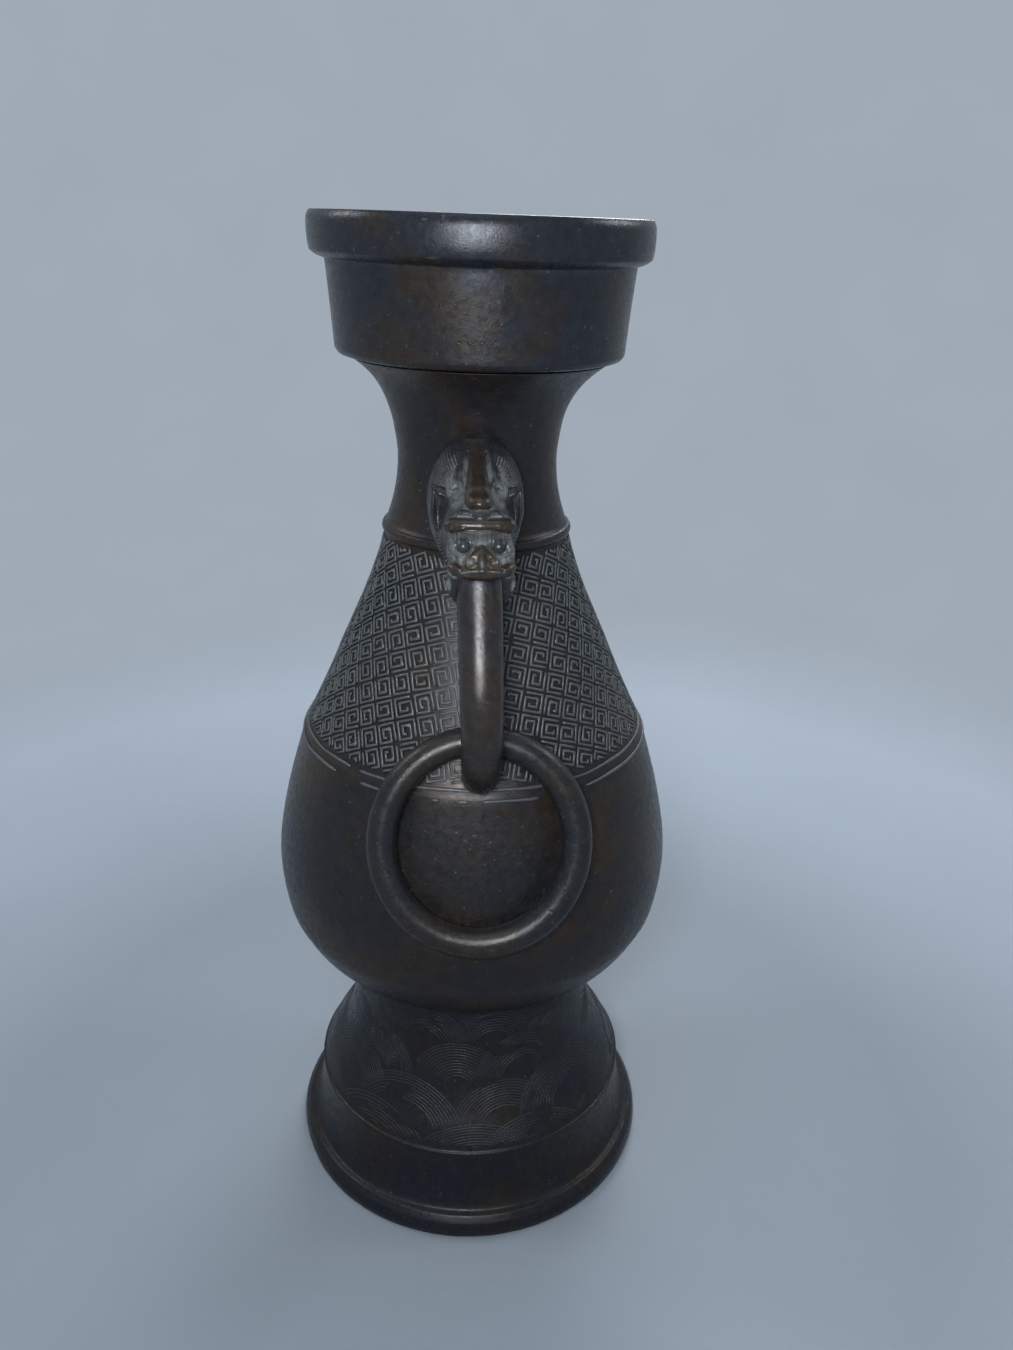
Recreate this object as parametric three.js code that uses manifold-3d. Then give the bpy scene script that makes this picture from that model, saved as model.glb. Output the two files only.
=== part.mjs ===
// Bronze vase of pear form with a cup mouth, a bell foot and two beast-head loop handles that carry loose rings.
// Millimetres, +Z up. The origin is the centre of the foot's underside. The handles lie along -Y (front) and +Y (rear).

import * as THREE from 'three';
import { mergeVertices } from 'three/addons/utils/BufferGeometryUtils.js';
import Module from 'manifold-3d';

// Gap left where two separately cast pieces touch
const seat_gap = 0.3;

// Body of revolution: its outline from the seat on the foot up to the seat of the mouth. Rises are measured from the
// station below
const body_wall = 3.0;
const waist_radius = 30.1;
const waist_height = 58.8;
const belly_radius = 49.3;
const belly_height = 90;
const border_radius = 41.4;
const border_height = 125.4;
const border_step = 0.6;
const border_rise = 1.2;
const shoulder_top_radius = 20.9;
const shoulder_top_height = 173.4;
const collar_radius = 21.7;
const collar_rise = 4.4;
const neck_radius = 17.8;
const neck_rise = 16.6;
const flare_radius = 28.0;
const flare_rise = 21.6;
const floor_opening_radius = 20;
const floor_radius = 22.5;
const floor_thickness = 2.4;
const floor_ledge = 1.6;
const spigot_radius = 25.5;
const spigot_length = 5;

// Where the outline bulges between two stations: [share of the radius step, share of the height step]
const belly_below = [[0.31, 0.145], [0.52, 0.245], [0.705, 0.36], [0.855, 0.52], [0.95, 0.68]];
const belly_above = [[0.10, 0.25], [0.40, 0.56], [0.70, 0.79]];
const shoulder_shape = [[0.25, 0.215], [0.50, 0.455], [0.76, 0.70], [0.92, 0.88]];
const neck_below = [[0.35, 0.16], [0.78, 0.45]];
const neck_above = [[0.05, 0.25], [0.16, 0.49], [0.38, 0.715], [0.68, 0.88]];

// Cup mouth with its rim band
const cup_wall = 2.6;
const cup_chamfer = 1.5;
const cup_bottom_radius = 31.2;
const cup_top_radius = 32.7;
const cup_height = 28.1;
const rim_band = 8.2;
const rim_radius = 36.0;
const rim_lip = 4.2;
const cup_opening_radius = 20.5;

// Bell foot
const foot_wall = 3.0;
const foot_radius = 47.8;
const rest_radius = 46.9;
const rest_width = 4.2;
const flange_height = 6.6;
const foot_step_radius = 44.2;
const foot_edge_radius = 41.7;
const foot_edge_height = 22.7;
const foot_edge_ledge = 0.6;
const bell_shape = [[0.18, 0.123], [0.378, 0.222], [0.568, 0.335], [0.73, 0.462], [0.892, 0.686]];

// Handle: loop bar, rooted above the border. Its bow is the share of its height at which it stands out the most
const bar_half_width = 4.3;
const bar_half_depth = 3.8;
const loop_reach = 52.2;
const loop_root_rise = 4.2;
const loop_root_angle_deg = 28.6;
const loop_bow_share = 0.58;
const loop_sink = 4.5;
const loop_top_setback = 4.6;
const loop_end_setback = 8.5;
const loop_end_rise = 3;
const tenon_radius = 2.6;
const tenon_head_radius = 4.0;
const tenon_head_thickness = 1.9;
const tenon_sink = 3;

// Handle: beast head. Its chin lies just below the top of the shoulder, and the rises are measured above the chin.
// The muzzle overhangs the loop's centre line, and the brow is set back from the muzzle
const chin_drop = 0.9;
const head_height = 25.1;
const head_half_width = 9.0;
const crown_half_width = 4.3;
const muzzle_half_width = 5.2;
const muzzle_overhang = 1.2;
const brow_setback = 8.1;
const brow_rise = 13.7;
const brow_half_length = 6.3;
const lip_rise = 6.6;
const lip_half_length = 6.0;
const roll_radius = 1.25;
const eye_radius = 1.5;
const eye_spread = 3.2;
const eye_rise = 10.3;
const nose_height = 4.3;
const nose_half_width = 3.9;
const nostril_radius = 0.9;
const nostril_spread = 1.95;
const fold_length = 7.4;
const fold_setback = 4.6;
const jaw_half_depth = 7.0;
const jaw_half_height = 4.0;
const nose_depth = 8;
const ear_height = 11.0;
const ear_width = 4.6;
const ear_rise = 13.6;
const horn_start = 5;
const horn_back_half_width = 1.5;
const horn_brow_half_width = 3.1;

// Loose ring, a little taller than wide
const ring_half_height = 22.0;
const ring_half_width = 20.9;
const ring_tube = 3.35;

// Fineness of the facets
const around = 40;
const ring_steps = 32;
const ring_sides = 10;
const bar_steps = 18;
const bar_sides = 10;

const wasm = await Module();
wasm.setup();

const V2 = (r, z) => new THREE.Vector2(r, z);
const X = new THREE.Vector3(1, 0, 0);
const Y = new THREE.Vector3(0, 1, 0);
const Z = new THREE.Vector3(0, 0, 1);
const radians = THREE.MathUtils.degToRad;

// Closed geometry with shared vertices and its faces pointing out
function weld(geometry) {
  geometry.deleteAttribute('normal');
  geometry.deleteAttribute('uv');
  const welded = mergeVertices(geometry, 1e-4);
  const position = welded.attributes.position;
  const index = welded.index.array;
  const corners = [new THREE.Vector3(), new THREE.Vector3(), new THREE.Vector3()];
  const kept = [];
  let volume = 0;
  for (let i = 0; i < index.length; i += 3) {
    const [a, b, c] = [index[i], index[i + 1], index[i + 2]];
    if (a === b || b === c || c === a) continue;
    corners[0].fromBufferAttribute(position, a);
    corners[1].fromBufferAttribute(position, b);
    corners[2].fromBufferAttribute(position, c);
    volume += corners[0].dot(corners[1].cross(corners[2]));
    kept.push(a, b, c);
  }
  if (volume < 0) kept.reverse();
  welded.setIndex(kept);
  return welded;
}

function toSolid(geometry) {
  const welded = weld(geometry);
  return new wasm.Manifold(new wasm.Mesh({
    numProp: 3,
    vertProperties: new Float32Array(welded.attributes.position.array),
    triVerts: new Uint32Array(welded.index.array),
  }));
}

function toGeometry(solid) {
  const mesh = solid.getMesh();
  const geometry = new THREE.BufferGeometry();
  geometry.setAttribute('position', new THREE.BufferAttribute(new Float32Array(mesh.vertProperties), 3));
  geometry.setIndex(new THREE.BufferAttribute(new Uint32Array(mesh.triVerts), 1));
  return geometry;
}

// Solid of revolution about Z from points (radius, height)
function revolve(points) {
  return toSolid(new THREE.LatheGeometry(points, around).rotateX(Math.PI / 2));
}

// Solid of revolution from an outline that closes on its first point
function turned(outline) {
  return revolve([...outline, outline[0]]);
}

// Solid that an open curve from bottom to top encloses round the axis
function filled(curve) {
  return revolve([V2(0, curve[0].y), ...curve, V2(0, curve.at(-1).y)]);
}

// Solid through a row of sections, each the same number of points, with flat ends or closed on itself
function loft(sections, closed = false) {
  const count = sections[0].length;
  const position = sections.flat().flatMap((p) => [p.x, p.y, p.z]);
  const index = [];
  const last = closed ? sections.length : sections.length - 1;
  for (let i = 0; i < last; i += 1) {
    const next = (i + 1) % sections.length;
    for (let j = 0; j < count; j += 1) {
      const k = (j + 1) % count;
      index.push(i * count + j, next * count + j, i * count + k);
      index.push(i * count + k, next * count + j, next * count + k);
    }
  }
  if (!closed) {
    for (let j = 1; j < count - 1; j += 1) {
      const end = (sections.length - 1) * count;
      index.push(0, j, j + 1);
      index.push(end, end + j + 1, end + j);
    }
  }
  const geometry = new THREE.BufferGeometry();
  geometry.setAttribute('position', new THREE.Float32BufferAttribute(position, 3));
  geometry.setIndex(index);
  return toSolid(geometry);
}

// Tube of elliptical section along points in the YZ plane: half sizes are across the plane and in it
function barAlong(path, halfWidth, halfDepth, sides) {
  const sections = path.map((point, i) => {
    const before = path[Math.max(i - 1, 0)];
    const after = path[Math.min(i + 1, path.length - 1)];
    const run = new THREE.Vector3().subVectors(after, before).normalize();
    const out = new THREE.Vector3(0, run.z, -run.y);
    return Array.from({ length: sides }, (_, j) => {
      const turn = (2 * Math.PI * j) / sides;
      return point.clone()
        .addScaledVector(out, halfDepth * Math.cos(turn))
        .add(new THREE.Vector3(halfWidth * Math.sin(turn), 0, 0));
    });
  });
  return loft(sections);
}

// Ellipsoid about a centre, with its half sizes along x, y and z
function egg(centre, halves, steps = 8) {
  const geometry = new THREE.SphereGeometry(1, steps, Math.round(steps * 0.66));
  return toSolid(geometry.scale(...halves).translate(...centre));
}

// Bar through stations [x, y, z, half size], whose sections lie in the plane of two directions
function strand(stations, first, second, sides = 8) {
  return loft(stations.map(([x, y, z, half]) => Array.from({ length: sides }, (_, j) => {
    const turn = (2 * Math.PI * j) / sides;
    return new THREE.Vector3(x, y, z)
      .addScaledVector(first, half * Math.cos(turn))
      .addScaledVector(second, half * Math.sin(turn));
  })));
}

// Stations given from the middle of the face to one end, with those of the other end before them
function mirrored(stations) {
  const others = stations.slice(1).reverse().map(([x, ...rest]) => [-x, ...rest]);
  return [...others, ...stations];
}

function joinAll(solids) {
  return solids.reduce((sum, solid) => sum.add(solid));
}

// Points between two stations, placed by shares of the step from one to the other
function bulge(from, to, shares) {
  return shares.map(([r, z]) => V2(from.x + (to.x - from.x) * r, from.y + (to.y - from.y) * z));
}

function smooth(stations, count) {
  return new THREE.SplineCurve(stations).getPoints(count);
}

// The same outline moved inwards by a wall thickness
function inset(points, wall) {
  return points.map((point, i) => {
    const before = points[Math.max(i - 1, 0)];
    const after = points[Math.min(i + 1, points.length - 1)];
    const run = after.clone().sub(before).normalize();
    return V2(point.x - wall * run.y, point.y + wall * run.x);
  });
}

const neck_height = shoulder_top_height + neck_rise;
const flare_height = neck_height + flare_rise;
const ledge_height = waist_height + body_wall - floor_ledge;
const waist = V2(waist_radius, waist_height);
const belly = V2(belly_radius, belly_height);
const border = V2(border_radius, border_height);
const shoulder_top = V2(shoulder_top_radius, shoulder_top_height);
const collar_top = V2(shoulder_top_radius - 0.2, shoulder_top_height + collar_rise);
const neck = V2(neck_radius, neck_height);
const flare = V2(flare_radius, flare_height);

const belly_curve = smooth(
  [waist, ...bulge(waist, belly, belly_below), belly, ...bulge(belly, border, belly_above), border], 15);
const field_bottom = V2(border_radius - border_step - 0.25, border_height + border_rise);
const shoulder_curve = smooth(
  [field_bottom, ...bulge(field_bottom, shoulder_top, shoulder_shape), shoulder_top], 5);
const neck_curve = smooth(
  [collar_top, ...bulge(collar_top, neck, neck_below), neck, ...bulge(neck, flare, neck_above), flare], 10);

// Rounded fillet round the foot of the neck
const collar_curve = [0.15, 0.5, 0.85].map((share) => V2(
  THREE.MathUtils.lerp(shoulder_top_radius, collar_radius, Math.sin(Math.PI * share) ** 0.6),
  shoulder_top_height + collar_rise * share));

const outer_curve = [...belly_curve, ...shoulder_curve, ...collar_curve, ...neck_curve];

// Inside of the body, from above the floor up to the mouth
const thinned = (points, every) => points.filter((point, i) => i % every === 0);
const inner_curve = [
  ...thinned(inset(belly_curve, body_wall), 2),
  ...inset(smooth([border, shoulder_top], 2), body_wall).slice(1),
  ...thinned(inset(neck_curve, body_wall), 3),
].filter((p) => p.y > waist_height + body_wall && p.y < flare_height - seat_gap);

// Distance from a point (radius, height) to the body's outline
function toBody(radius, height) {
  let least = Infinity;
  for (let i = 1; i < outer_curve.length; i += 1) {
    const a = outer_curve[i - 1];
    const run = outer_curve[i].clone().sub(a);
    const share = THREE.MathUtils.clamp(V2(radius, height).sub(a).dot(run) / run.lengthSq(), 0, 1);
    least = Math.min(least, a.clone().addScaledVector(run, share).distanceTo(V2(radius, height)));
  }
  return least;
}

function bodyRadiusAt(height) {
  const i = Math.max(outer_curve.findIndex((point) => point.y >= height), 1);
  const [a, b] = [outer_curve[i - 1], outer_curve[i]];
  return THREE.MathUtils.mapLinear(height, a.y, b.y, a.x, b.x);
}

// Root of the loop on the shoulder, and the direction in which its bar leaves
const root_angle = radians(loop_root_angle_deg);
const loop_root_height = border_height + loop_root_rise;
const loop_root = V2(bodyRadiusAt(loop_root_height), loop_root_height);
const loop_run = V2(Math.cos(root_angle), Math.sin(root_angle));
const loop_normal = V2(-loop_run.y, loop_run.x);

// Heights of the head, and of the loop that enters its mouth
const chin_height = shoulder_top_height - chin_drop;
const head_top_height = chin_height + head_height;
const brow_height = chin_height + brow_rise;
const muzzle_reach = loop_reach + muzzle_overhang;
const brow_reach = muzzle_reach - brow_setback;
const lip_height = chin_height + lip_rise;
const loop_top_height = chin_height + loop_sink;

// The ring's tube rests in the crotch between the loop's root and the shoulder
function ringPivot() {
  const lift = bar_half_depth + ring_tube + seat_gap;
  let [near, far] = [-ring_tube, loop_reach];
  for (let i = 0; i < 40; i += 1) {
    const middle = (near + far) / 2;
    const point = loop_root.clone().addScaledVector(loop_run, middle).addScaledVector(loop_normal, lift);
    if (point.x > bodyRadiusAt(point.y) && toBody(point.x, point.y) > ring_tube + seat_gap) far = middle;
    else near = middle;
  }
  return loop_root.clone().addScaledVector(loop_run, far).addScaledVector(loop_normal, lift);
}

// Centre line of the ring, hanging from its pivot at an angle out from the vertical
function ringPath(pivot, lean, steps) {
  return Array.from({ length: steps }, (_, i) => {
    const turn = (2 * Math.PI * i) / steps;
    const drop = ring_half_height * (1 - Math.cos(turn));
    return new THREE.Vector3(ring_half_width * Math.sin(turn),
      pivot.x + drop * Math.sin(lean), pivot.y - drop * Math.cos(lean));
  });
}

// The ring hangs back until its lower side rests on the belly
function ringLean(pivot) {
  let [inside, outside] = [0, Math.PI / 3];
  for (let i = 0; i < 30; i += 1) {
    const middle = (inside + outside) / 2;
    const lower = ringPath(pivot, middle, ring_steps).filter((p) => p.z < pivot.y - ring_half_height / 2);
    const clear = lower.every((p) => {
      const radius = Math.hypot(p.x, p.y);
      return radius > bodyRadiusAt(p.z) && toBody(radius, p.z) > ring_tube + seat_gap;
    });
    if (clear) outside = middle;
    else inside = middle;
  }
  return outside;
}

const pivot = ringPivot();
const lean = ringLean(pivot);

// Neck and belly: a hollow casting, open above into the mouth, and below at the ledge that its floor lies against
function vesselBody() {
  const inner = [...inner_curve, V2(cup_opening_radius, flare_height)];
  const underside = [
    V2(floor_opening_radius, ledge_height + floor_ledge),
    V2(floor_opening_radius, ledge_height),
    V2(floor_radius, ledge_height),
    V2(floor_radius, waist_height - spigot_length),
    V2(spigot_radius, waist_height - spigot_length),
    V2(spigot_radius, waist_height),
  ];
  return turned([...underside, ...outer_curve, ...inner.reverse()]);
}

// Disc let in from below, up against the ledge
function bellyFloor() {
  const top = ledge_height - seat_gap;
  const radius = floor_radius - seat_gap;
  return filled([V2(radius, top - floor_thickness), V2(radius, top)]);
}

// Bell foot with its flange, open underneath
function bellFoot() {
  const edge = V2(foot_edge_radius, foot_edge_height);
  const top = V2(waist_radius - 0.1, waist_height - seat_gap);
  const bell_start = V2(foot_edge_radius - foot_edge_ledge, foot_edge_height + foot_edge_ledge / 2);
  const bell = smooth([bell_start, ...bulge(bell_start, top, bell_shape), top], 10);
  const flange = [
    V2(rest_radius, 0), V2(foot_radius - 0.2, 0.9), V2(foot_radius, 2.6),
    V2(foot_radius - 0.5, flange_height - 1.8), V2(foot_radius - 1.7, flange_height - 0.4),
    V2(foot_step_radius + 0.5, flange_height),
  ];
  const step = V2(foot_step_radius, flange_height + 0.7);
  const wall = [step, ...bulge(step, edge, [[0.45, 0.2], [0.78, 0.5], [0.96, 0.8]])];
  const outside = [...flange, ...wall, edge, ...bell];
  const inner_bell = thinned(inset([...wall.slice(1), ...bell], foot_wall), 2);
  const socket_radius = spigot_radius + seat_gap;
  const socket_bottom = waist_height - spigot_length - 2 * seat_gap;
  const inside = [
    V2(rest_radius - rest_width, 0),
    V2(rest_radius - rest_width, flange_height - 2),
    ...inner_bell.filter((p) => p.y < socket_bottom - 1),
    V2(socket_radius, socket_bottom),
    V2(socket_radius, top.y),
  ];
  return turned([...outside, ...inside.reverse()]);
}

// Cup mouth: a flat floor soldered to the flare of the neck, a steep wall and a raised rim band
function mouthCup() {
  const bottom = flare_height + seat_gap;
  const rim_height = bottom + cup_height;
  const band_bottom = rim_height - rim_band;
  const outside = [
    V2(cup_opening_radius, bottom),
    V2(flare_radius + 0.2, bottom),
    V2(cup_bottom_radius - 0.7, bottom + 0.5),
    V2(cup_bottom_radius, bottom + cup_chamfer),
    V2((cup_bottom_radius + cup_top_radius) / 2, (bottom + band_bottom) / 2 + 1),
    V2(cup_top_radius, band_bottom - 0.9),
    V2(rim_radius - 1.6, band_bottom - 0.3),
    V2(rim_radius - 0.3, band_bottom + 0.6),
    V2(rim_radius, band_bottom + 2.2),
    V2(rim_radius, rim_height - 1.2),
    V2(rim_radius - 0.6, rim_height),
  ];
  const inside = [
    V2(rim_radius - rim_lip, rim_height),
    V2(cup_top_radius - cup_wall, rim_height - 2),
    V2(cup_bottom_radius - cup_wall, bottom + cup_wall + 1.6),
    V2(cup_bottom_radius - cup_wall - 1.6, bottom + cup_wall),
    V2(cup_opening_radius + 1, bottom + cup_wall),
    V2(cup_opening_radius, bottom + cup_wall - 1),
  ];
  return turned([...outside, ...inside]);
}

// Loop bar from its root on the shoulder, out, up and into the beast's mouth
function loopBar() {
  const start = loop_root.clone().addScaledVector(loop_run, -body_wall);
  const knee = loop_root.clone().addScaledVector(loop_run, (loop_reach - loop_root.x) * 0.45);
  const bow_height = THREE.MathUtils.lerp(loop_root_height, loop_top_height, loop_bow_share);
  const route = [
    start, loop_root, knee,
    V2(loop_reach - 2.2, THREE.MathUtils.lerp(loop_root_height, bow_height, 0.36)),
    V2(loop_reach - 0.4, THREE.MathUtils.lerp(loop_root_height, bow_height, 0.64)),
    V2(loop_reach, bow_height),
    V2(loop_reach - 1.0, THREE.MathUtils.lerp(bow_height, loop_top_height, 0.55)),
    V2(loop_reach - loop_top_setback, loop_top_height),
    V2(loop_reach - loop_end_setback, loop_top_height + loop_end_rise),
  ];
  const path = smooth(route, bar_steps).map((p) => new THREE.Vector3(0, p.x, p.y));
  return barAlong(path, bar_half_width, bar_half_depth, bar_sides);
}

// Skull and muzzle: flat-topped sections that narrow from the mane at the vase's neck to the tip of the muzzle
function headCore() {
  const back = neck_radius - body_wall / 2;
  const length = muzzle_reach - 0.9 - back;
  const shape = [
    // share of the length, top and bottom as shares of the height, half width as a share of the mane's
    [0.00, 0.97, 0.05, 0.90], [0.16, 1.00, 0.02, 1.00], [0.30, 0.94, 0.00, 0.98], [0.45, 0.84, 0.00, 0.84],
    [0.60, 0.73, 0.02, 0.74], [0.73, 0.65, 0.06, 0.70], [0.785, 0.60, 0.07, 0.70], [0.81, 0.52, 0.08, 0.67],
    [0.88, 0.43, 0.15, 0.63], [1.00, 0.32, 0.23, 0.50],
  ];
  const sides = 16;
  const crown_taper = 1 - crown_half_width / head_half_width;
  const sections = shape.map(([along, top, bottom, wide]) => {
    const reach = back + length * along;
    const high = chin_height + head_height * top;
    const low = chin_height + head_height * bottom;
    const half = Math.max(head_half_width * wide, 0.9 * muzzle_half_width * wide);
    return Array.from({ length: sides }, (_, j) => {
      const turn = (2 * Math.PI * (j + 0.5)) / sides;
      const roundness = Math.sin(turn) > 0 ? 0.5 : 0.75;
      const across = Math.sign(Math.cos(turn)) * Math.abs(Math.cos(turn)) ** roundness;
      const up = Math.sign(Math.sin(turn)) * Math.abs(Math.sin(turn)) ** roundness;
      const taper = 1 - crown_taper * Math.max(up, 0) ** 2;
      return new THREE.Vector3(half * across * taper, reach, (high + low) / 2 + ((high - low) / 2) * up);
    });
  });
  return loft(sections);
}

// Horn that swells from the crown forward to the brow, with a lesser ridge on each side of it
function horns() {
  const back = neck_radius + horn_start;
  const swell = horn_brow_half_width - horn_back_half_width;
  const main = [0, 0.2, 0.45, 0.7, 0.88, 1].map((t) => [
    0, THREE.MathUtils.lerp(back, brow_reach - 1.4, t),
    THREE.MathUtils.lerp(head_top_height - 2.3, brow_height + 1.2, t) + 0.9 * Math.sin(Math.PI * t),
    horn_back_half_width + swell * t ** 2,
  ]);
  const ridge = (side) => [[2.4, 0.5, 1.9, 0.5], [2.9, 5.0, 3.4, 0.9], [3.4, 9.5, 5.5, 1.0], [4.3, 11.5, 7.4, 0.4]]
    .map(([x, y, drop, half]) => [side * x, back + y, head_top_height - drop, half]);
  return joinAll([main, ridge(-1), ridge(1)].map((stations) => strand(stations, X, Z)));
}

// Leaf-shaped ear with a pointed tip, hollowed at the front
function ear(side) {
  const reach = THREE.MathUtils.lerp(neck_radius, muzzle_reach, 0.38);
  const leaf = (scale) => [[-0.5, 0.12], [-0.34, 0.72], [-0.08, 1], [0.16, 0.88], [0.34, 0.5], [0.5, 0.06]]
    .map(([up, half]) => [side * (0.4 - 1.2 * up ** 2 + 3.0 * Math.max(up, 0) ** 2), 0,
      ear_height * up * scale, (ear_width / 2) * half * scale]);
  const shell = strand(leaf(1), X, Y);
  const hollow = strand(leaf(0.72), X, Y).translate([side * 0.1, ear_width * 0.34, -0.2]);
  return shell.subtract(hollow).translate([side * (head_half_width - 1.9), reach, chin_height + ear_rise]);
}

// One side of the face: eye under the brow, and the fold of the jaw that clasps the loop
function faceSide(side) {
  const eye_centre = [side * eye_spread, brow_reach + eye_radius + 0.4, chin_height + eye_rise];
  const eye = egg(eye_centre, [eye_radius, eye_radius, eye_radius]);
  const fold_top = lip_height - 1.4;
  const fold = [[0.4, 0, 1.3], [0.7, 0.3, 1.6], [0.5, 0.6, 1.3], [0.3, 0.85, 0.8], [0.0, 1, 0.25]].map(
    ([out, down, half]) => [
      side * (bar_half_width + out), muzzle_reach - fold_setback, fold_top - fold_length * down, half]);
  return joinAll([eye, strand(fold, X, Y)]);
}

// Three-cornered plate of the nose with a ridge down its middle and a pit for each nostril
function nose() {
  const low = lip_height + 0.5;
  const outline = [
    [0, 1], [0.5, 0.75], [0.95, 0.2], [0.9, 0.04], [0.4, -0.04],
    [0, -0.1], [-0.4, -0.04], [-0.9, 0.04], [-0.95, 0.2], [-0.5, 0.75],
  ];
  const layer = ([out, size]) => outline.map(([x, up]) => new THREE.Vector3(
    nose_half_width * x * size, muzzle_reach + out, low + nose_height * (0.4 + (up - 0.4) * size)));
  const plate = loft([[-nose_depth, 1], [-2.6, 1], [-1.6, 0.8]].map(layer));
  const pits = [-1, 1].map((side) => egg(
    [side * nostril_spread, muzzle_reach - 1.6, low + nose_height * 0.36],
    [nostril_radius, nostril_radius, nostril_radius]));
  const ridge = strand([[0, muzzle_reach - 2.4, low + nose_height, 0.4], [0, muzzle_reach - 1.5, low + 2, 0.7],
    [0, muzzle_reach - 1.2, low, 0.6]], X, Y);
  return joinAll([plate.subtract(joinAll(pits)), ridge]);
}

function beastHead() {
  const brow_bar = mirrored([
    [0, brow_reach, brow_height, roll_radius],
    [brow_half_length * 0.55, brow_reach - 0.5, brow_height, roll_radius],
    [brow_half_length * 0.86, brow_reach - 1.2, brow_height - 0.2, roll_radius * 1.15],
    [brow_half_length, brow_reach - 1.5, brow_height - 0.3, roll_radius * 0.5],
  ]);
  const brow_arch = mirrored([
    [0, brow_reach - 1.6, brow_height + 1.7, roll_radius * 0.9],
    [brow_half_length * 0.5, brow_reach - 1.7, brow_height + 1.6, roll_radius * 0.9],
    [brow_half_length * 0.9, brow_reach - 1.9, brow_height + 0.4, roll_radius * 0.7],
  ]);
  const lip = mirrored([
    [0, muzzle_reach - roll_radius, lip_height - 0.3, roll_radius],
    [lip_half_length * 0.55, muzzle_reach - roll_radius - 0.5, lip_height - 0.1, roll_radius],
    [lip_half_length * 0.88, muzzle_reach - roll_radius - 1.8, lip_height + 0.3, roll_radius],
    [lip_half_length, muzzle_reach - roll_radius - 2.4, lip_height + 0.4, roll_radius * 0.5],
  ]);
  const jaw = egg([0, muzzle_reach - muzzle_overhang - jaw_half_depth - 0.5, chin_height + jaw_half_height - 0.4],
    [muzzle_half_width * 0.92, jaw_half_depth, jaw_half_height], 10);
  const rolls = [brow_bar, brow_arch, lip].map((stations) => strand(stations, Y, Z));
  const almonds = [-1, 1].map((side) => egg([side * brow_half_length / 2, brow_reach - 0.2, brow_height + 1.7],
    [brow_half_length * 0.27, 0.9, 0.5]));
  return joinAll([headCore(), horns(), ear(-1), ear(1), nose(), jaw, ...rolls, faceSide(-1), faceSide(1)])
    .subtract(joinAll(almonds));
}

// Round peg in the YZ plane along a run from the wall's surface, between two distances outwards
function peg({ surface, run }, from, to, radius) {
  const ends = [from, to].map((distance) => surface.clone().addScaledVector(run, distance));
  return barAlong(ends.map((p) => new THREE.Vector3(0, p.x, p.y)), radius, radius, bar_sides);
}

const tenon_height = THREE.MathUtils.lerp(chin_height, head_top_height, 0.55);
const tenon_seats = [
  { surface: V2(bodyRadiusAt(tenon_height), tenon_height), run: V2(1, 0) },
  { surface: loop_root, run: loop_run },
];

// Beast head and loop in one casting that lies on the neck and shoulder, with two tenons peened over inside the wall
function handle() {
  const outside = joinAll([beastHead(), loopBar()]).subtract(filled(inset(outer_curve, -seat_gap)));
  const inner_end = -body_wall - tenon_head_thickness;
  const tenons = tenon_seats.map((seat) => peg(seat, inner_end, tenon_sink, tenon_radius));
  const heads = tenon_seats.map((seat) => peg(seat, inner_end, 0, tenon_head_radius));
  return joinAll([outside, ...tenons, joinAll(heads).intersect(filled(inset(inner_curve, seat_gap)))]);
}

function ringSolid() {
  const path = ringPath(pivot, lean, ring_steps);
  const across = new THREE.Vector3(0, Math.cos(lean), Math.sin(lean));
  const sections = path.map((point, i) => {
    const before = path[(i + ring_steps - 1) % ring_steps];
    const after = path[(i + 1) % ring_steps];
    const run = new THREE.Vector3().subVectors(after, before).normalize();
    const out = new THREE.Vector3().crossVectors(run, across);
    return Array.from({ length: ring_sides }, (_, j) => {
      const turn = (2 * Math.PI * j) / ring_sides;
      return point.clone()
        .addScaledVector(out, ring_tube * Math.cos(turn))
        .addScaledVector(across, ring_tube * Math.sin(turn));
    });
  });
  return loft(sections, true);
}

const bronze = (name, color, roughness) => new THREE.MeshStandardMaterial({ name, color, roughness, metalness: 0.9 });
const dark_bronze = bronze('dark_bronze', 0x2c2a2b, 0.42);
const brown_bronze = bronze('brown_bronze', 0x3a2c22, 0.4);
const black_bronze = bronze('black_bronze', 0x1f1f23, 0.38);

const half_turn = Math.PI;
const handle_solid = handle();
const holes = joinAll(tenon_seats.map((seat) => peg(seat, -2 * body_wall, body_wall, tenon_radius + seat_gap)));
const body_solid = vesselBody().subtract(holes).subtract(holes.rotate([0, 0, 180]));

const vase = new THREE.Group();
vase.userData.ring_hinge = { reach: pivot.x, height: pivot.y, lean_deg: THREE.MathUtils.radToDeg(lean) };

function place(name, geometry, material, turn = 0) {
  const mesh = new THREE.Mesh(geometry, material);
  mesh.name = name;
  mesh.rotation.z = turn;
  vase.add(mesh);
}

place('mouth_cup', toGeometry(mouthCup()), dark_bronze);
place('vessel_body', toGeometry(body_solid), brown_bronze);
place('belly_floor', toGeometry(bellyFloor()), brown_bronze);
place('foot', toGeometry(bellFoot()), black_bronze);
place('front_handle', toGeometry(handle_solid), brown_bronze, half_turn);
place('rear_handle', toGeometry(handle_solid), brown_bronze);
place('front_ring', toGeometry(ringSolid()), dark_bronze, half_turn);
place('rear_ring', toGeometry(ringSolid()), dark_bronze);

export default vase;
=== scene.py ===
"""Looks of the bronze vase: turned walls, fret and wave ornament, beast-head handles and loose rings."""

import math
import random

import bpy
import numpy as np
from mathutils import Matrix, Vector


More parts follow.
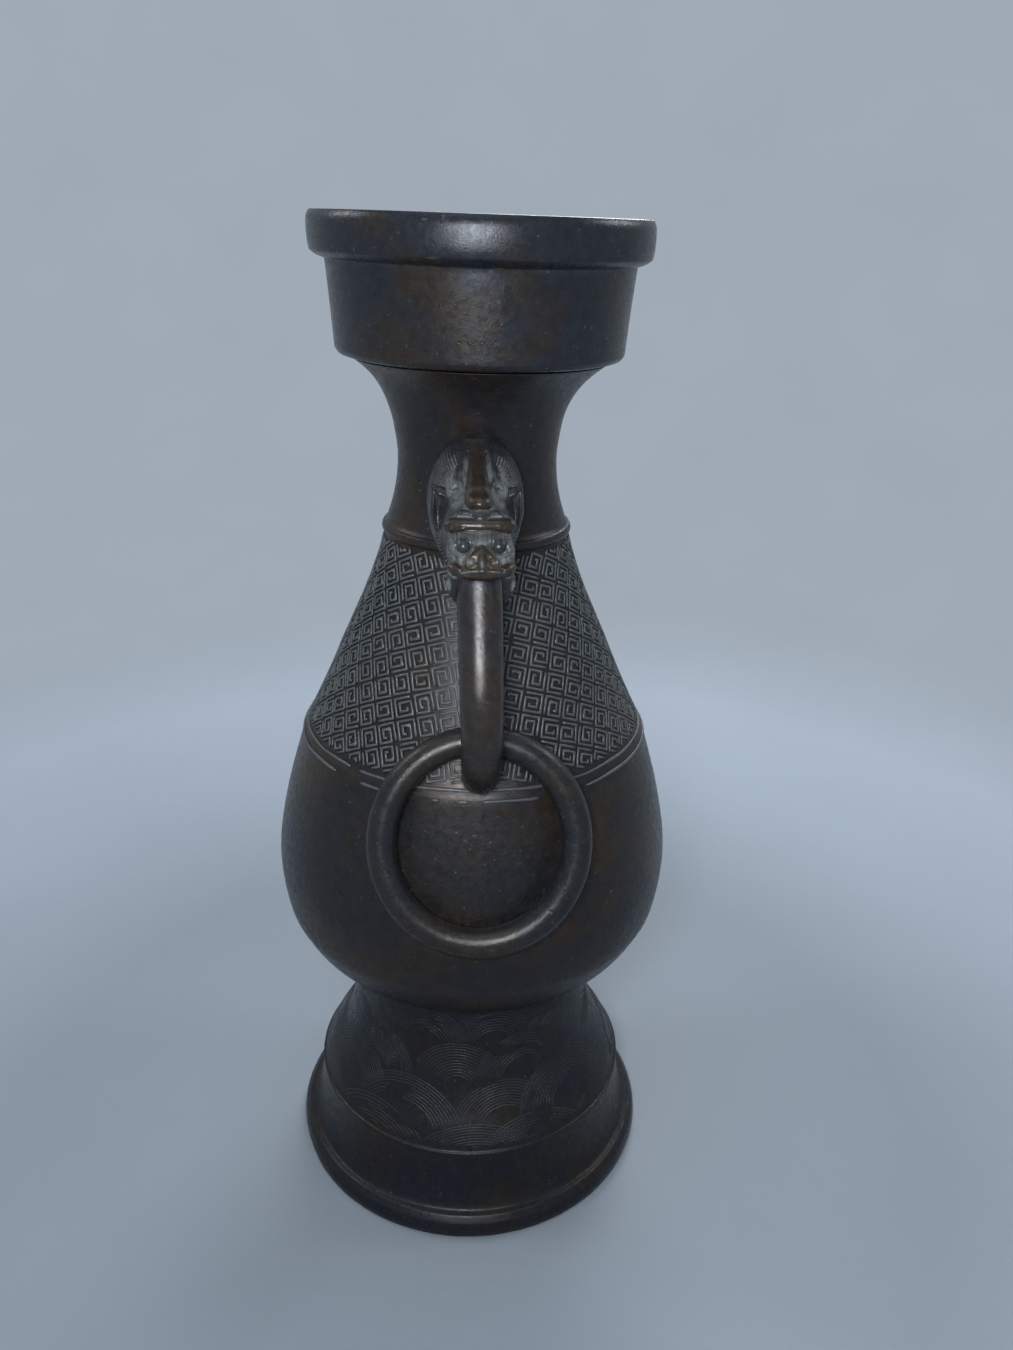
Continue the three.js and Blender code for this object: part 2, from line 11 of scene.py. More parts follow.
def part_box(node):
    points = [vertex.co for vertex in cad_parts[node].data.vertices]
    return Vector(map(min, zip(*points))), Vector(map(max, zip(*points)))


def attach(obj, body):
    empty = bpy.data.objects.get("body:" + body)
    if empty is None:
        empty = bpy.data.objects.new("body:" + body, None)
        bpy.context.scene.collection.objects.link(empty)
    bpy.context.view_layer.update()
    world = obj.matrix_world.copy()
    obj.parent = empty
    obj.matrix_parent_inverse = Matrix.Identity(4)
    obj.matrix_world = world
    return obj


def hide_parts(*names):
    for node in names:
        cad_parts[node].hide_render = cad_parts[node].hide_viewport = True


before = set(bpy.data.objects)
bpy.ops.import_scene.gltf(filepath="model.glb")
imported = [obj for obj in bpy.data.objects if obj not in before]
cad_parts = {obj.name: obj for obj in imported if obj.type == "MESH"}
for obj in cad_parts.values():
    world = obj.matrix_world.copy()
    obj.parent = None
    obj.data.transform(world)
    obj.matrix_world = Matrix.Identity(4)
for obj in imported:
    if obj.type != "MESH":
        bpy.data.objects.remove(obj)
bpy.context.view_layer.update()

MM = 0.001
TAU = 2 * math.pi

# Camera, fitted to the vase's outline in the photograph of 1013 by 1350 pixels
IMAGE_HEIGHT = 1350
FOCAL_PIXELS = 1054.6
SENSOR = 36.0
CAMERA_PLACE = (-7.24, -237.8, 239.0)
CAMERA_YAW = math.radians(3.615)
CAMERA_PITCH = math.radians(23.321)
CAMERA_ROLL = math.radians(1.371)

# Backdrop: a round wall about the vase, the sweep at its foot, and the paints
WALL_RADIUS = 640.0
WALL_HEIGHT = 820.0
SWEEP = 240.0
TABLE_PAINT = (0.20, 0.228, 0.26)
WALL_PAINT = (0.36, 0.41, 0.475)

# Distances from the origin, in metres, between which table paint turns into wall paint, and paint that shows
# light and shade into an even colour
TABLE_TO_WALL = (0.13, 0.30)
LIT_TO_EVEN = (0.22, 0.44)

# Lamps, in metres and watts
LAMP_TARGET = (0, 0, 0.13)
KEY_SIZE = 0.05
KEY_POWER = 0.75
KEY_COLOUR = (0.90, 0.95, 1.0)
SOFT_COLOUR = (0.93, 0.97, 1.0)
REAR_SIZE = 0.26
REAR_POWER = 2.0
SIDE_SIZE = 0.12
SIDE_POWER = 0.6
CEILING_SIZE = 1.1
CEILING_POWER = 4.8
WORLD_COLOUR = (0.80, 0.88, 1.0)
WORLD_STRENGTH = 0.17

# Turned walls: points round, the turn that counts as a corner, its rounding, the step along a curve, and the
# size and length of the cast wall's unevenness; samples up a wall that carries ornament
AROUND = 288
CORNER = math.radians(27)
FILLET = 0.28
STEP_ALONG = 0.9
CAST_WAVE = 0.05
CAST_WAVE_LENGTH = 26
WALL_SAMPLES = 160

# The mouth's lean and shift to one side, which begin on the flare of the neck
MOUTH_LEAN = math.radians(0.55)
MOUTH_SHIFT = 0.45
LEAN_FROM = 200.0
LEAN_TO = 211.0

# Collar under the neck: the radius that only its outside exceeds, and heights in the plain solid and as shown
COLLAR_INSIDE = 18.25
COLLAR_PLAIN = (0.0, 173.4, 177.8, 182.0, 240.0)
COLLAR_SLIM = (0.0, 173.4, 175.9, 182.0, 240.0)

# Seeds of the random draws
FRET_SEED = 11
BORDER_SEED = 4
FOOT_SEED = 23

# Fret field on the shoulder, laid on as two flat sheets, one for each side
FIELD_LOW = 127.4
FIELD_HIGH = 173.2
CELL = 5.0
FRET_PITCH = 1.06
FRET_WIDTH = 0.62
FRET_RISE = 0.34
FRET_STEP = 0.95
FRET_LOOSE = 0.05
CELL_GAP = 0.42
FIELD_MARGIN = 0.35
SEAM_HALF = 0.25

# Border lines under the fret field: height of each, and how many pieces it is broken into
BORDER_LOW = 122.0
BORDERS = ((126.7, 9), (124.6, 15))
BORDER_STEP = 1.1
BORDER_WIDTH = 0.78
BORDER_RISE = 0.34
SHORTEST_PIECE = 2

# Waves on the bell of the foot; each row stands above the last by a share of the radius
WAVE_RADIUS = 13.0
WAVE_ROW = 0.82
WAVE_STEP = 0.8
WAVE_WIDTH = 0.28
WAVE_RISE = 0.065
WAVE_LINES = 11
WAVE_PITCH = 0.74
WAVES_AROUND = 11
WAVE_LOW = 23.6
WAVE_HIGH = 57.5

# Loop: half widths of its bar at the lower and upper end, half its depth, and its middle line (reach, height)
BAR_LOW = 3.95
BAR_HIGH = 4.55
BAR_HALF_DEPTH = 3.85
BAR_SIDES = 28
BAR_STEPS = 9
BAR_ROUTE = ((36.6, 128.2), (39.6, 129.8), (44.6, 133.0), (48.8, 137.2), (51.2, 142.4), (52.1, 147.5),
             (51.5, 153.0), (49.7, 158.5), (47.1, 164.2), (44.3, 170.2), (41.7, 176.0), (39.8, 180.4))

# Half the width of the loose ring's centre line, and the points round the ring and round its tube
RING_HALF_WIDTH = 20.9
RING_STEPS = 160
RING_SIDES = 32

# Sculpted head: the box and the grid in which it is shaped, how many times coarser the first grid is, how far
# from the surface, in its steps, the fine grid is filled, and how deep the head sinks into the wall
HEAD_LOW = (-11.6, 15.0, 169.5)
HEAD_HIGH = (11.6, 55.6, 199.5)
HEAD_STEP = 0.17
HEAD_COARSE = 4
HEAD_REACH = 2.6
HEAD_SUNK = 0.3

# Mane: the angle from lock to lock, and the height of the point it is measured round
MANE_TURN = 0.066
MANE_MIDDLE = 185.0

# How far the handles lean to one side, as cast
LEAN_AT_MUZZLE = 0.45
LEAN_AT_EARS = 0.5


def mesh_object(name, points, faces):
    """A smooth-shaded piece from points in millimetres and faces of any number of corners."""
    mesh = bpy.data.meshes.new(name)
    mesh.from_pydata((np.asarray(points, float) * MM).tolist(), [], [list(map(int, f)) for f in faces])
    mesh.validate()
    mesh.update()
    piece = bpy.data.objects.new(name, mesh)
    bpy.context.scene.collection.objects.link(piece)
    mesh.polygons.foreach_set("use_smooth", [True] * len(mesh.polygons))
    return piece


def grid_faces(rows, columns, close_rows=False):
    """Quads of a grid of points stored row by row, closed round each row and, if asked, up the columns."""
    last = rows if close_rows else rows - 1
    i, j = np.meshgrid(np.arange(last), np.arange(columns), indexing="ij")
    i, j = i.ravel(), j.ravel()
    below, above = i % rows * columns, (i + 1) % rows * columns
    beside = (j + 1) % columns
    return np.stack([below + j, below + beside, above + beside, above + j], axis=1)


def smoothstep(x, low, high):
    """Share from 0 at low to 1 at high, with soft ends."""
    t = np.clip((x - low) / (high - low), 0, 1)
    return t * t * (3 - 2 * t)


def waves(x, y, z, scale, seed):
    """Smooth noise of about unit size from a few slanted waves."""
    draw = random.Random(seed)
    total = 0
    for _ in range(9):
        kx, ky, kz = (draw.uniform(-1, 1) * TAU / scale for _ in range(3))
        total = total + np.sin(kx * x + ky * y + kz * z + draw.uniform(0, TAU))
    return total / 3


# Outlines of the turned nodes, read from the frame

def outline(node):
    """Closed outline (radius, height) of a turned node, walked along its edges over the +X axis."""
    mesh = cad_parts[node].data
    keys = {}
    number = []
    for vertex in mesh.vertices:
        key = tuple(round(c / MM, 3) for c in vertex.co)
        number.append(keys.setdefault(key, len(keys)))
    place = list(keys)
    on_plane = [abs(p[1]) < 0.002 and p[0] > 0 for p in place]
    linked = {}
    for edge in mesh.edges:
        a, b = (number[v] for v in edge.vertices)
        if a != b and on_plane[a] and on_plane[b]:
            linked.setdefault(a, set()).add(b)
            linked.setdefault(b, set()).add(a)
    start = min(linked, key=lambda v: (place[v][2], -place[v][0]))
    path, here, before = [start], start, None
    while True:
        onward = [v for v in linked[here] if v != before]
        if before is None:
            onward.sort(key=lambda v: -place[v][2])
        before, here = here, onward[0]
        if here == start:
            break
        path.append(here)
    return np.array([(place[v][0], place[v][2]) for v in path])


def turn_angles(points):
    """How far a closed outline turns at each of its points."""
    run = np.roll(points, -1, 0) - points
    back = points - np.roll(points, 1, 0)
    cross = back[:, 0] * run[:, 1] - back[:, 1] * run[:, 0]
    return np.abs(np.arctan2(cross, (back * run).sum(1)))


def spline_between(before, start, end, after, count):
    """Points from start towards end on a curve that also heeds its neighbours."""
    knots = [0.0]
    for a, b in ((before, start), (start, end), (end, after)):
        knots.append(knots[-1] + max(np.linalg.norm(b - a), 1e-6) ** 0.5)
    t = np.linspace(knots[1], knots[2], count + 1)[:-1, None]
    t0, t1, t2, t3 = knots
    first = (t1 - t) / (t1 - t0) * before + (t - t0) / (t1 - t0) * start
    second = (t2 - t) / (t2 - t1) * start + (t - t1) / (t2 - t1) * end
    third = (t3 - t) / (t3 - t2) * end + (t - t2) / (t3 - t2) * after
    lower = (t2 - t) / (t2 - t0) * first + (t - t0) / (t2 - t0) * second
    upper = (t3 - t) / (t3 - t1) * second + (t - t1) / (t3 - t1) * third
    return (t2 - t) / (t2 - t1) * lower + (t - t1) / (t2 - t1) * upper


def smooth_outline(points):
    """The closed outline with its curved stretches made smooth and its corners softly rounded."""
    sharp = turn_angles(points) > CORNER
    count = len(points)
    dense = []
    for i in range(count):
        a, b = points[i], points[(i + 1) % count]
        before = 2 * a - b if sharp[i] else points[i - 1]
        after = 2 * b - a if sharp[(i + 1) % count] else points[(i + 2) % count]
        length = np.linalg.norm(b - a)
        steps = max(int(round(length / STEP_ALONG)), 2)
        stretch = spline_between(before, a, b, after, steps)
        if sharp[i]:
            back = points[i - 1] - a
            reach = min(FILLET, length / 3, np.linalg.norm(back) / 3)
            enter = a + back / np.linalg.norm(back) * reach
            leave = a + (b - a) / length * reach
            for t in (0, 0.25, 0.5, 0.75):
                dense.append((1 - t) ** 2 * enter + 2 * t * (1 - t) * a + t * t * leave)
            stretch = np.vstack([leave, stretch[1:]])
        dense.extend(stretch)
    return np.array(dense)


def slender_collar(profile):
    """Lowers the collar under the neck against its plain solid. Only the outside of the wall changes."""
    outside = profile[:, 0] > COLLAR_INSIDE
    slim = profile.copy()
    slim[outside, 1] = np.interp(profile[outside, 1], COLLAR_PLAIN, COLLAR_SLIM)
    return slim


def lean_mouth(points):
    """The mouth was set a little out of level: it leans and is shifted towards +X."""
    share = smoothstep(points[:, 2], LEAN_FROM, LEAN_TO)
    leaned = points.copy()
    leaned[:, 2] -= points[:, 0] * np.sin(MOUTH_LEAN) * share
    leaned[:, 0] += MOUTH_SHIFT * share
    return leaned


def turned_piece(name, node, wave_seed):
    """Revolves a node's smoothed outline, with the slight waviness of a cast and filed wall."""
    profile = smooth_outline(outline(node))
    if node == "vessel_body":
        profile = slender_collar(profile)
    turn = np.arange(AROUND) * TAU / AROUND
    radius, height = profile[:, :1], profile[:, 1:]
    x, y = radius * np.cos(turn), radius * np.sin(turn)
    z = np.broadcast_to(height, x.shape)
    swell = CAST_WAVE * waves(x, y, z, CAST_WAVE_LENGTH, wave_seed) * np.minimum(z, 1.0)
    points = np.stack([x + swell * np.cos(turn), y + swell * np.sin(turn), z], axis=-1).reshape(-1, 3)
    piece = mesh_object(name, lean_mouth(points), grid_faces(len(profile), AROUND, True))
    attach(piece, "vase")
    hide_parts(node)
    return piece


def outer_radius(profile, height):
    """Radius of the outside of a closed outline at a height."""
    here, onward = profile, np.roll(profile, -1, 0)
    low, high = np.minimum(here[:, 1], onward[:, 1]), np.maximum(here[:, 1], onward[:, 1])
    crossing = (low <= height) & (height < high)
    share = (height - here[crossing, 1]) / (onward[crossing, 1] - here[crossing, 1])
    return (here[crossing, 0] + share * (onward[crossing, 0] - here[crossing, 0])).max()


class Wall:
    """Outside of a turned piece between two heights, measured along its slope."""

    def __init__(self, node, low, high):
        profile = smooth_outline(outline(node))
        self.heights = np.linspace(low, high, WALL_SAMPLES)
        self.radii = np.array([outer_radius(profile, h) for h in self.heights])
        run = np.hypot(np.diff(self.heights), np.diff(self.radii))
        self.slope = np.concatenate([[0], np.cumsum(run)])
        self.length = self.slope[-1]
        rise = np.gradient(self.heights, self.slope)
        lean = np.gradient(self.radii, self.slope)
        self.out_r, self.out_z = rise, -lean

    def at(self, along, turn, lift):
        """Points at distances up the slope, at azimuths round from +X, lifted off the wall."""
        radius = np.interp(along, self.slope, self.radii) + lift * np.interp(along, self.slope, self.out_r)
        height = np.interp(along, self.slope, self.heights) + lift * np.interp(along, self.slope, self.out_z)
        return np.stack([radius * np.cos(turn), radius * np.sin(turn), height], axis=-1)


# Raised lines

RIDGE_SECTION = ((-0.5, -0.25), (-0.40, 0.72), (0.0, 1.0), (0.40, 0.72), (0.5, -0.25))


class Ridges:
    """Collects raised lines drawn on a plane, each a closed bar, and lays them on a surface."""

    def __init__(self, lay):
        self.lay = lay
        self.points = []
        self.faces = []

    def draw(self, path, width, rise):
        """One line along plane points; width and rise may change along it."""
        path = np.asarray(path, float)
        if len(path) < 2:
            return
        width = np.broadcast_to(width, len(path))
        rise = np.broadcast_to(rise, len(path))
        before = np.diff(path, axis=0, prepend=path[:1] - (path[1] - path[0]))
        after = np.diff(path, axis=0, append=path[-1:] + (path[-1] - path[-2]))
        run = unit(unit(before) + unit(after))
        side = np.stack([-run[:, 1], run[:, 0]], axis=1)
        widen = 1 / np.clip((side * np.stack([-unit(before)[:, 1], unit(before)[:, 0]], 1)).sum(1), 0.6, 1)
        first = sum(len(p) for p in self.points)
        rows = []
        for across, up in RIDGE_SECTION:
            plane = path + side * (across * width * widen)[:, None]
            rows.append(self.lay(plane, up * rise))
        ring = np.stack(rows, axis=1)
        count, corners = ring.shape[:2]
        self.points.append(ring.reshape(-1, 3))
        self.faces.extend((grid_faces(count, corners) + first)[:, ::-1].tolist())
        self.faces.append([first + k for k in range(corners)])
        self.faces.append([first + (count - 1) * corners + k for k in reversed(range(corners))])

    def piece(self, name):
        """All the lines as one mesh piece."""
        return mesh_object(name, np.vstack(self.points), self.faces)


def unit(vectors):
    """Rows of an array, each made one unit long."""
    return vectors / np.maximum(np.linalg.norm(vectors, axis=1, keepdims=True), 1e-9)


def stepped(corners, step):
    """Points at about even steps along a path through corners, corners included."""
    path = [np.asarray(corners[0], float)]
    for a, b in zip(corners[:-1], corners[1:]):
        a, b = np.asarray(a, float), np.asarray(b, float)
        count = max(int(round(np.linalg.norm(b - a) / step)), 1)
        path.extend(a + (b - a) * (k + 1) / count for k in range(count))
    return np.array(path)


def stretches(path, keep):
    """The runs of consecutive kept points."""
    run = []
    for point, kept in zip(path, keep):
        if kept:
            run.append(point)
        elif run:
            yield np.array(run)
            run = []
    if run:
        yield np.array(run)


def square_spiral(half):
    """Corners of a squared spiral that winds in from the edge of a cell."""
    corners = [(-half, -half + FRET_PITCH), (-half, -half)]
    reach = half
    while reach > FRET_PITCH / 2:
        inner = reach - FRET_PITCH
        corners += [(reach, -reach), (reach, reach), (-reach, reach), (-reach, -inner)]
        if inner > 0.05:
            corners.append((inner, -inner))
        reach = inner
    return corners[1:]


def fret_relief():
    """Diaper of squared spirals on the shoulder. Each side is one flat sheet of square cells, set cornerwise
    at its middle, and the sheets meet behind the handles."""
    wall = Wall("vessel_body", FIELD_LOW, FIELD_HIGH)
    top, bottom = wall.radii[-1], wall.radii[0]
    cone = (bottom - top) / wall.length
    apex_to_top = top / cone
    draw = random.Random(FRET_SEED)
    half = (CELL - CELL_GAP - FRET_WIDTH) / 2
    spiral = square_spiral(half)

    def lay_on(side):
        def lay(plane, lift):
            reach = np.hypot(plane[:, 0], plane[:, 1])
            swing = np.arctan2(plane[:, 1], plane[:, 0]) / cone
            return wall.at(wall.length - (reach - apex_to_top), swing + (0 if side > 0 else math.pi), lift)
        return lay

    pieces = []
    for side, name in ((1, "fret_field_right"), (-1, "fret_field_left")):
        ridges = Ridges(lay_on(side))
        cells = int((apex_to_top + wall.length) / CELL * 1.5)
        for i in range(-cells, cells):
            for j in range(-cells, cells):
                centre = np.array([(i + j + 1) * CELL, (i - j) * CELL]) * math.sqrt(0.5)
                reach = math.hypot(*centre)
                if centre[0] < 0 or not apex_to_top - CELL < reach < apex_to_top + wall.length + CELL:
                    continue
                if abs(math.atan2(centre[1], centre[0])) / cone > math.pi / 2 + 0.2:
                    continue
                turn = math.pi / 4 + draw.randrange(4) * math.pi / 2
                mirror = draw.choice((1, -1))
                loose = draw.uniform(-FRET_LOOSE, FRET_LOOSE)
                c, s = math.cos(turn + loose), math.sin(turn + loose)
                local = stepped(spiral, FRET_STEP) * (1, mirror)
                path = local @ np.array([[c, s], [-s, c]]) + centre
                distance = np.hypot(path[:, 0], path[:, 1])
                swing = np.arctan2(path[:, 1], path[:, 0]) / cone
                keep = distance > apex_to_top + FIELD_MARGIN
                keep &= distance < apex_to_top + wall.length - FIELD_MARGIN
                keep &= np.abs(swing) * distance * cone < (math.pi / 2) * distance * cone - SEAM_HALF
                worn = draw.uniform(0.78, 1.0)
                for run in stretches(path, keep):
                    bumps = 1 + 0.12 * waves(run[:, 0], run[:, 1], 0, 1.7, 5)
                    ridges.draw(run, FRET_WIDTH * bumps, FRET_RISE * worn)
        piece = ridges.piece(name)
        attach(piece, "vase")
        pieces.append(piece)
    return pieces


def border_lines():
    """Two raised lines under the fret field. The lower one is broken where it was worn or poorly cast."""
    wall = Wall("vessel_body", BORDER_LOW, FIELD_LOW + 1)
    bottom = wall.radii[0]
    ridges = Ridges(lambda plane, lift: wall.at(plane[:, 1], plane[:, 0] / bottom, lift))
    around = TAU * bottom
    draw = random.Random(BORDER_SEED)
    for height, pieces_of_line in BORDERS:
        along = np.interp(height, wall.heights, wall.slope)
        start = draw.uniform(0, around)
        cuts = sorted(draw.uniform(0, around) for _ in range(pieces_of_line))
        for a, b in zip(cuts, cuts[1:] + [cuts[0] + around]):
            gap = 0.5 if height == BORDERS[0][0] else draw.uniform(0.8, 5.0)
            if b - a < gap + SHORTEST_PIECE:
                continue
            x = np.arange(a + start, b + start - gap, BORDER_STEP)
            ends = np.clip(np.minimum(x - x[0] + 0.4, x[-1] - x + 0.4) / 1.6, 0.3, 1)
            wobble = 0.10 * np.sin(x / 6.1) + 0.06 * np.sin(x / 2.3)
            path = np.stack([x, np.full_like(x, along) + wobble], axis=1)
            ridges.draw(path, BORDER_WIDTH * ends * (1 + 0.15 * np.sin(x / 3.7)), BORDER_RISE * ends)
    piece = ridges.piece("border_lines")
    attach(piece, "vase")
    return piece


def foot_waves():
    """Overlapping waves on the bell of the foot, each a fan of fine lines that its lower neighbours cover."""
    wall = Wall("foot", WAVE_LOW, WAVE_HIGH)
    middle = float(np.interp(wall.length / 2, wall.slope, wall.radii))
    around = TAU * middle
    draw = random.Random(FOOT_SEED)
    spacing = around / WAVES_AROUND
    rows = int(wall.length / (WAVE_RADIUS * WAVE_ROW)) + 2
    fans = []
    for row in range(rows):
        for k in range(WAVES_AROUND):
            x = (k + 0.5 * (row % 2) + draw.uniform(-0.28, 0.28)) * spacing
            y = (row - 0.75) * WAVE_RADIUS * WAVE_ROW + draw.uniform(-2.2, 2.2)
            fans.append((row, x, y, WAVE_RADIUS * draw.uniform(0.88, 1.22)))

    def gap_between(x, other):
        return (x - other + around / 2) % around - around / 2

    def lay(plane, lift):
        return wall.at(np.clip(plane[:, 1], 0, wall.length), plane[:, 0] / middle, lift)

    ridges = Ridges(lay)
    for row, x0, y0, radius in fans:
        lines = draw.randint(WAVE_LINES - 2, WAVE_LINES + 1)
        pitch = WAVE_PITCH * draw.uniform(0.9, 1.15)
        first, last = draw.uniform(-0.3, 0.5), math.pi - draw.uniform(-0.3, 0.5)
        for line in range(lines):
            r = radius - (line + 0.4) * pitch
            angle = np.arange(first, last, WAVE_STEP / r)
            path = np.stack([x0 + r * np.cos(angle), y0 + r * np.sin(angle)], axis=1)
            keep = (path[:, 1] > 0.4) & (path[:, 1] < wall.length - 0.4)
            for other_row, x1, y1, other in fans:
                if other_row < row and abs(gap_between(x0, x1)) < 2 * WAVE_RADIUS:
                    keep &= np.hypot(gap_between(path[:, 0], x1), path[:, 1] - y1) > other
            faint = waves(path[:, 0], path[:, 1], line * 2.1, 15, 8)
            keep &= faint > -0.75
            for run in stretches(path, keep):
                if len(run) > 2:
                    place = np.arange(len(run))
                    ends = np.clip(np.minimum(place, place[::-1]) / 2.5 + 0.35, 0, 1)
                    ridges.draw(run, WAVE_WIDTH * ends, WAVE_RISE * ends)
    piece = ridges.piece("foot_waves")
    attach(piece, "vase")
    return piece


# Beast head, shaped as a solid of blended forms on a grid. Local axes: x across, y out from the vase, z up.
# Each form gives the distance from points p to its surface, less than nothing inside

def egg(p, centre, radii):
    """Ellipsoid, to nearly its true distance."""
    q = (p - np.array(centre)) / np.array(radii)
    near = np.linalg.norm(q, axis=-1)
    slope = np.linalg.norm(q / np.array(radii), axis=-1)
    return near * (near - 1) / np.maximum(slope, 1e-6)


def rod(p, start, end, r0, r1):
    """Round bar between two points with a radius at each."""
    start, end = np.array(start, float), np.array(end, float)
    run = end - start
    t = np.clip(((p - start) @ run) / (run @ run), 0, 1)
    radius = r0 + (r1 - r0) * t
    return np.linalg.norm(p - start - t[..., None] * run, axis=-1) - radius


def chain(p, points):
    """Bar through points (x, y, z, radius)."""
    return np.minimum.reduce([rod(p, a[:3], b[:3], a[3], b[3]) for a, b in zip(points[:-1], points[1:])])


def hoop(p, centre, facing, big, small):
    """Ring round an axis."""
    axis = np.array(facing, float)
    axis /= np.linalg.norm(axis)
    q = p - np.array(centre)
    along = q @ axis
    across = np.sqrt(np.maximum((q * q).sum(-1) - along * along, 0))
    return np.hypot(across - big, along) - small


def blend(a, b, soft):
    """Union with a soft fillet."""
    h = np.clip(0.5 + 0.5 * (b - a) / soft, 0, 1)
    return b + (a - b) * h - soft * h * (1 - h)


def carve(a, b, soft):
    """Cut of b out of a with a soft edge."""
    return -blend(-a, b, soft)


# Stations of the skull out from the vase's axis: reach, top, bottom, half width, narrowing of the top
SKULL = np.array([
    (14.0, 197.0, 174.0, 9.6, 0.42), (22.0, 198.2, 172.8, 10.0, 0.44), (27.2, 196.7, 172.4, 9.2, 0.42),
    (32.7, 193.6, 172.6, 7.9, 0.42), (38.1, 190.7, 173.2, 6.6, 0.42), (43.0, 188.2, 174.8, 6.2, 0.35),
    (45.4, 186.6, 176.2, 6.0, 0.30), (47.6, 184.5, 177.4, 5.8, 0.25), (50.0, 181.9, 178.2, 5.3, 0.20),
    (54.0, 179.2, 178.6, 3.6, 0.20)])


def skull(x, y, z):
    """Flat-topped form that narrows from the mane at the neck to the muzzle."""
    top, bottom, half, narrowing = (np.interp(y, SKULL[:, 0], SKULL[:, k]) for k in (1, 2, 3, 4))
    middle, tall = (top + bottom) / 2, np.maximum((top - bottom) / 2, 0.3)
    up = (z - middle) / tall
    wide = half * (1 - narrowing * np.clip(up, 0, 1) ** 2)
    power = np.where(up > 0, np.interp(y, (27, 38), (5.0, 3.4)), 2.4)
    size = (np.abs(x / wide) ** power + np.abs(up) ** power) ** (1 / power)
    return np.maximum((size - 1) * np.minimum(half, tall) * 0.85, y - 53.0)


def nose_plate(x, y, z):
    """Three-cornered plate with rounded corners, leaning back."""
    slant = 0.25 * x + 0.11 * x * x + 0.80 * (z - 183.5)
    edge = -blend(-slant, -(x - 3.75), 0.8)
    edge = -blend(-edge, -(180.0 - z), 0.7)
    front = (y - 50.9 - (183.4 - z) * 0.48) * 0.9
    return np.maximum(-blend(-edge, -front, 0.35), 46 - y)


def horn(q):
    """Ridge along the middle of the head, with a swollen end."""
    ridge = chain(q, [(0, 24.6, 196.0, 1.35), (0, 30.0, 194.2, 1.6), (0, 35.0, 192.1, 1.95),
                      (0, 38.5, 190.7, 2.3)])
    return blend(ridge, egg(q, (0, 40.5, 189.85), (2.6, 3.6, 1.8)), 1.2)


def brow_roll(q):
    """Thick roll across the brow."""
    return chain(q, [(0, 45.4, 186.3, 1.2), (3.4, 45.0, 186.25, 1.25), (5.2, 44.2, 186.0, 1.4),
                     (5.7, 43.9, 185.9, 1.25)])


def lip_roll(q):
    """Upper lip, a roll round the muzzle."""
    return chain(q, [(0, 52.3, 178.7, 0.8), (3.1, 51.7, 178.8, 0.85), (4.9, 50.3, 179.2, 1.1),
                     (5.5, 49.3, 179.5, 1.0)])


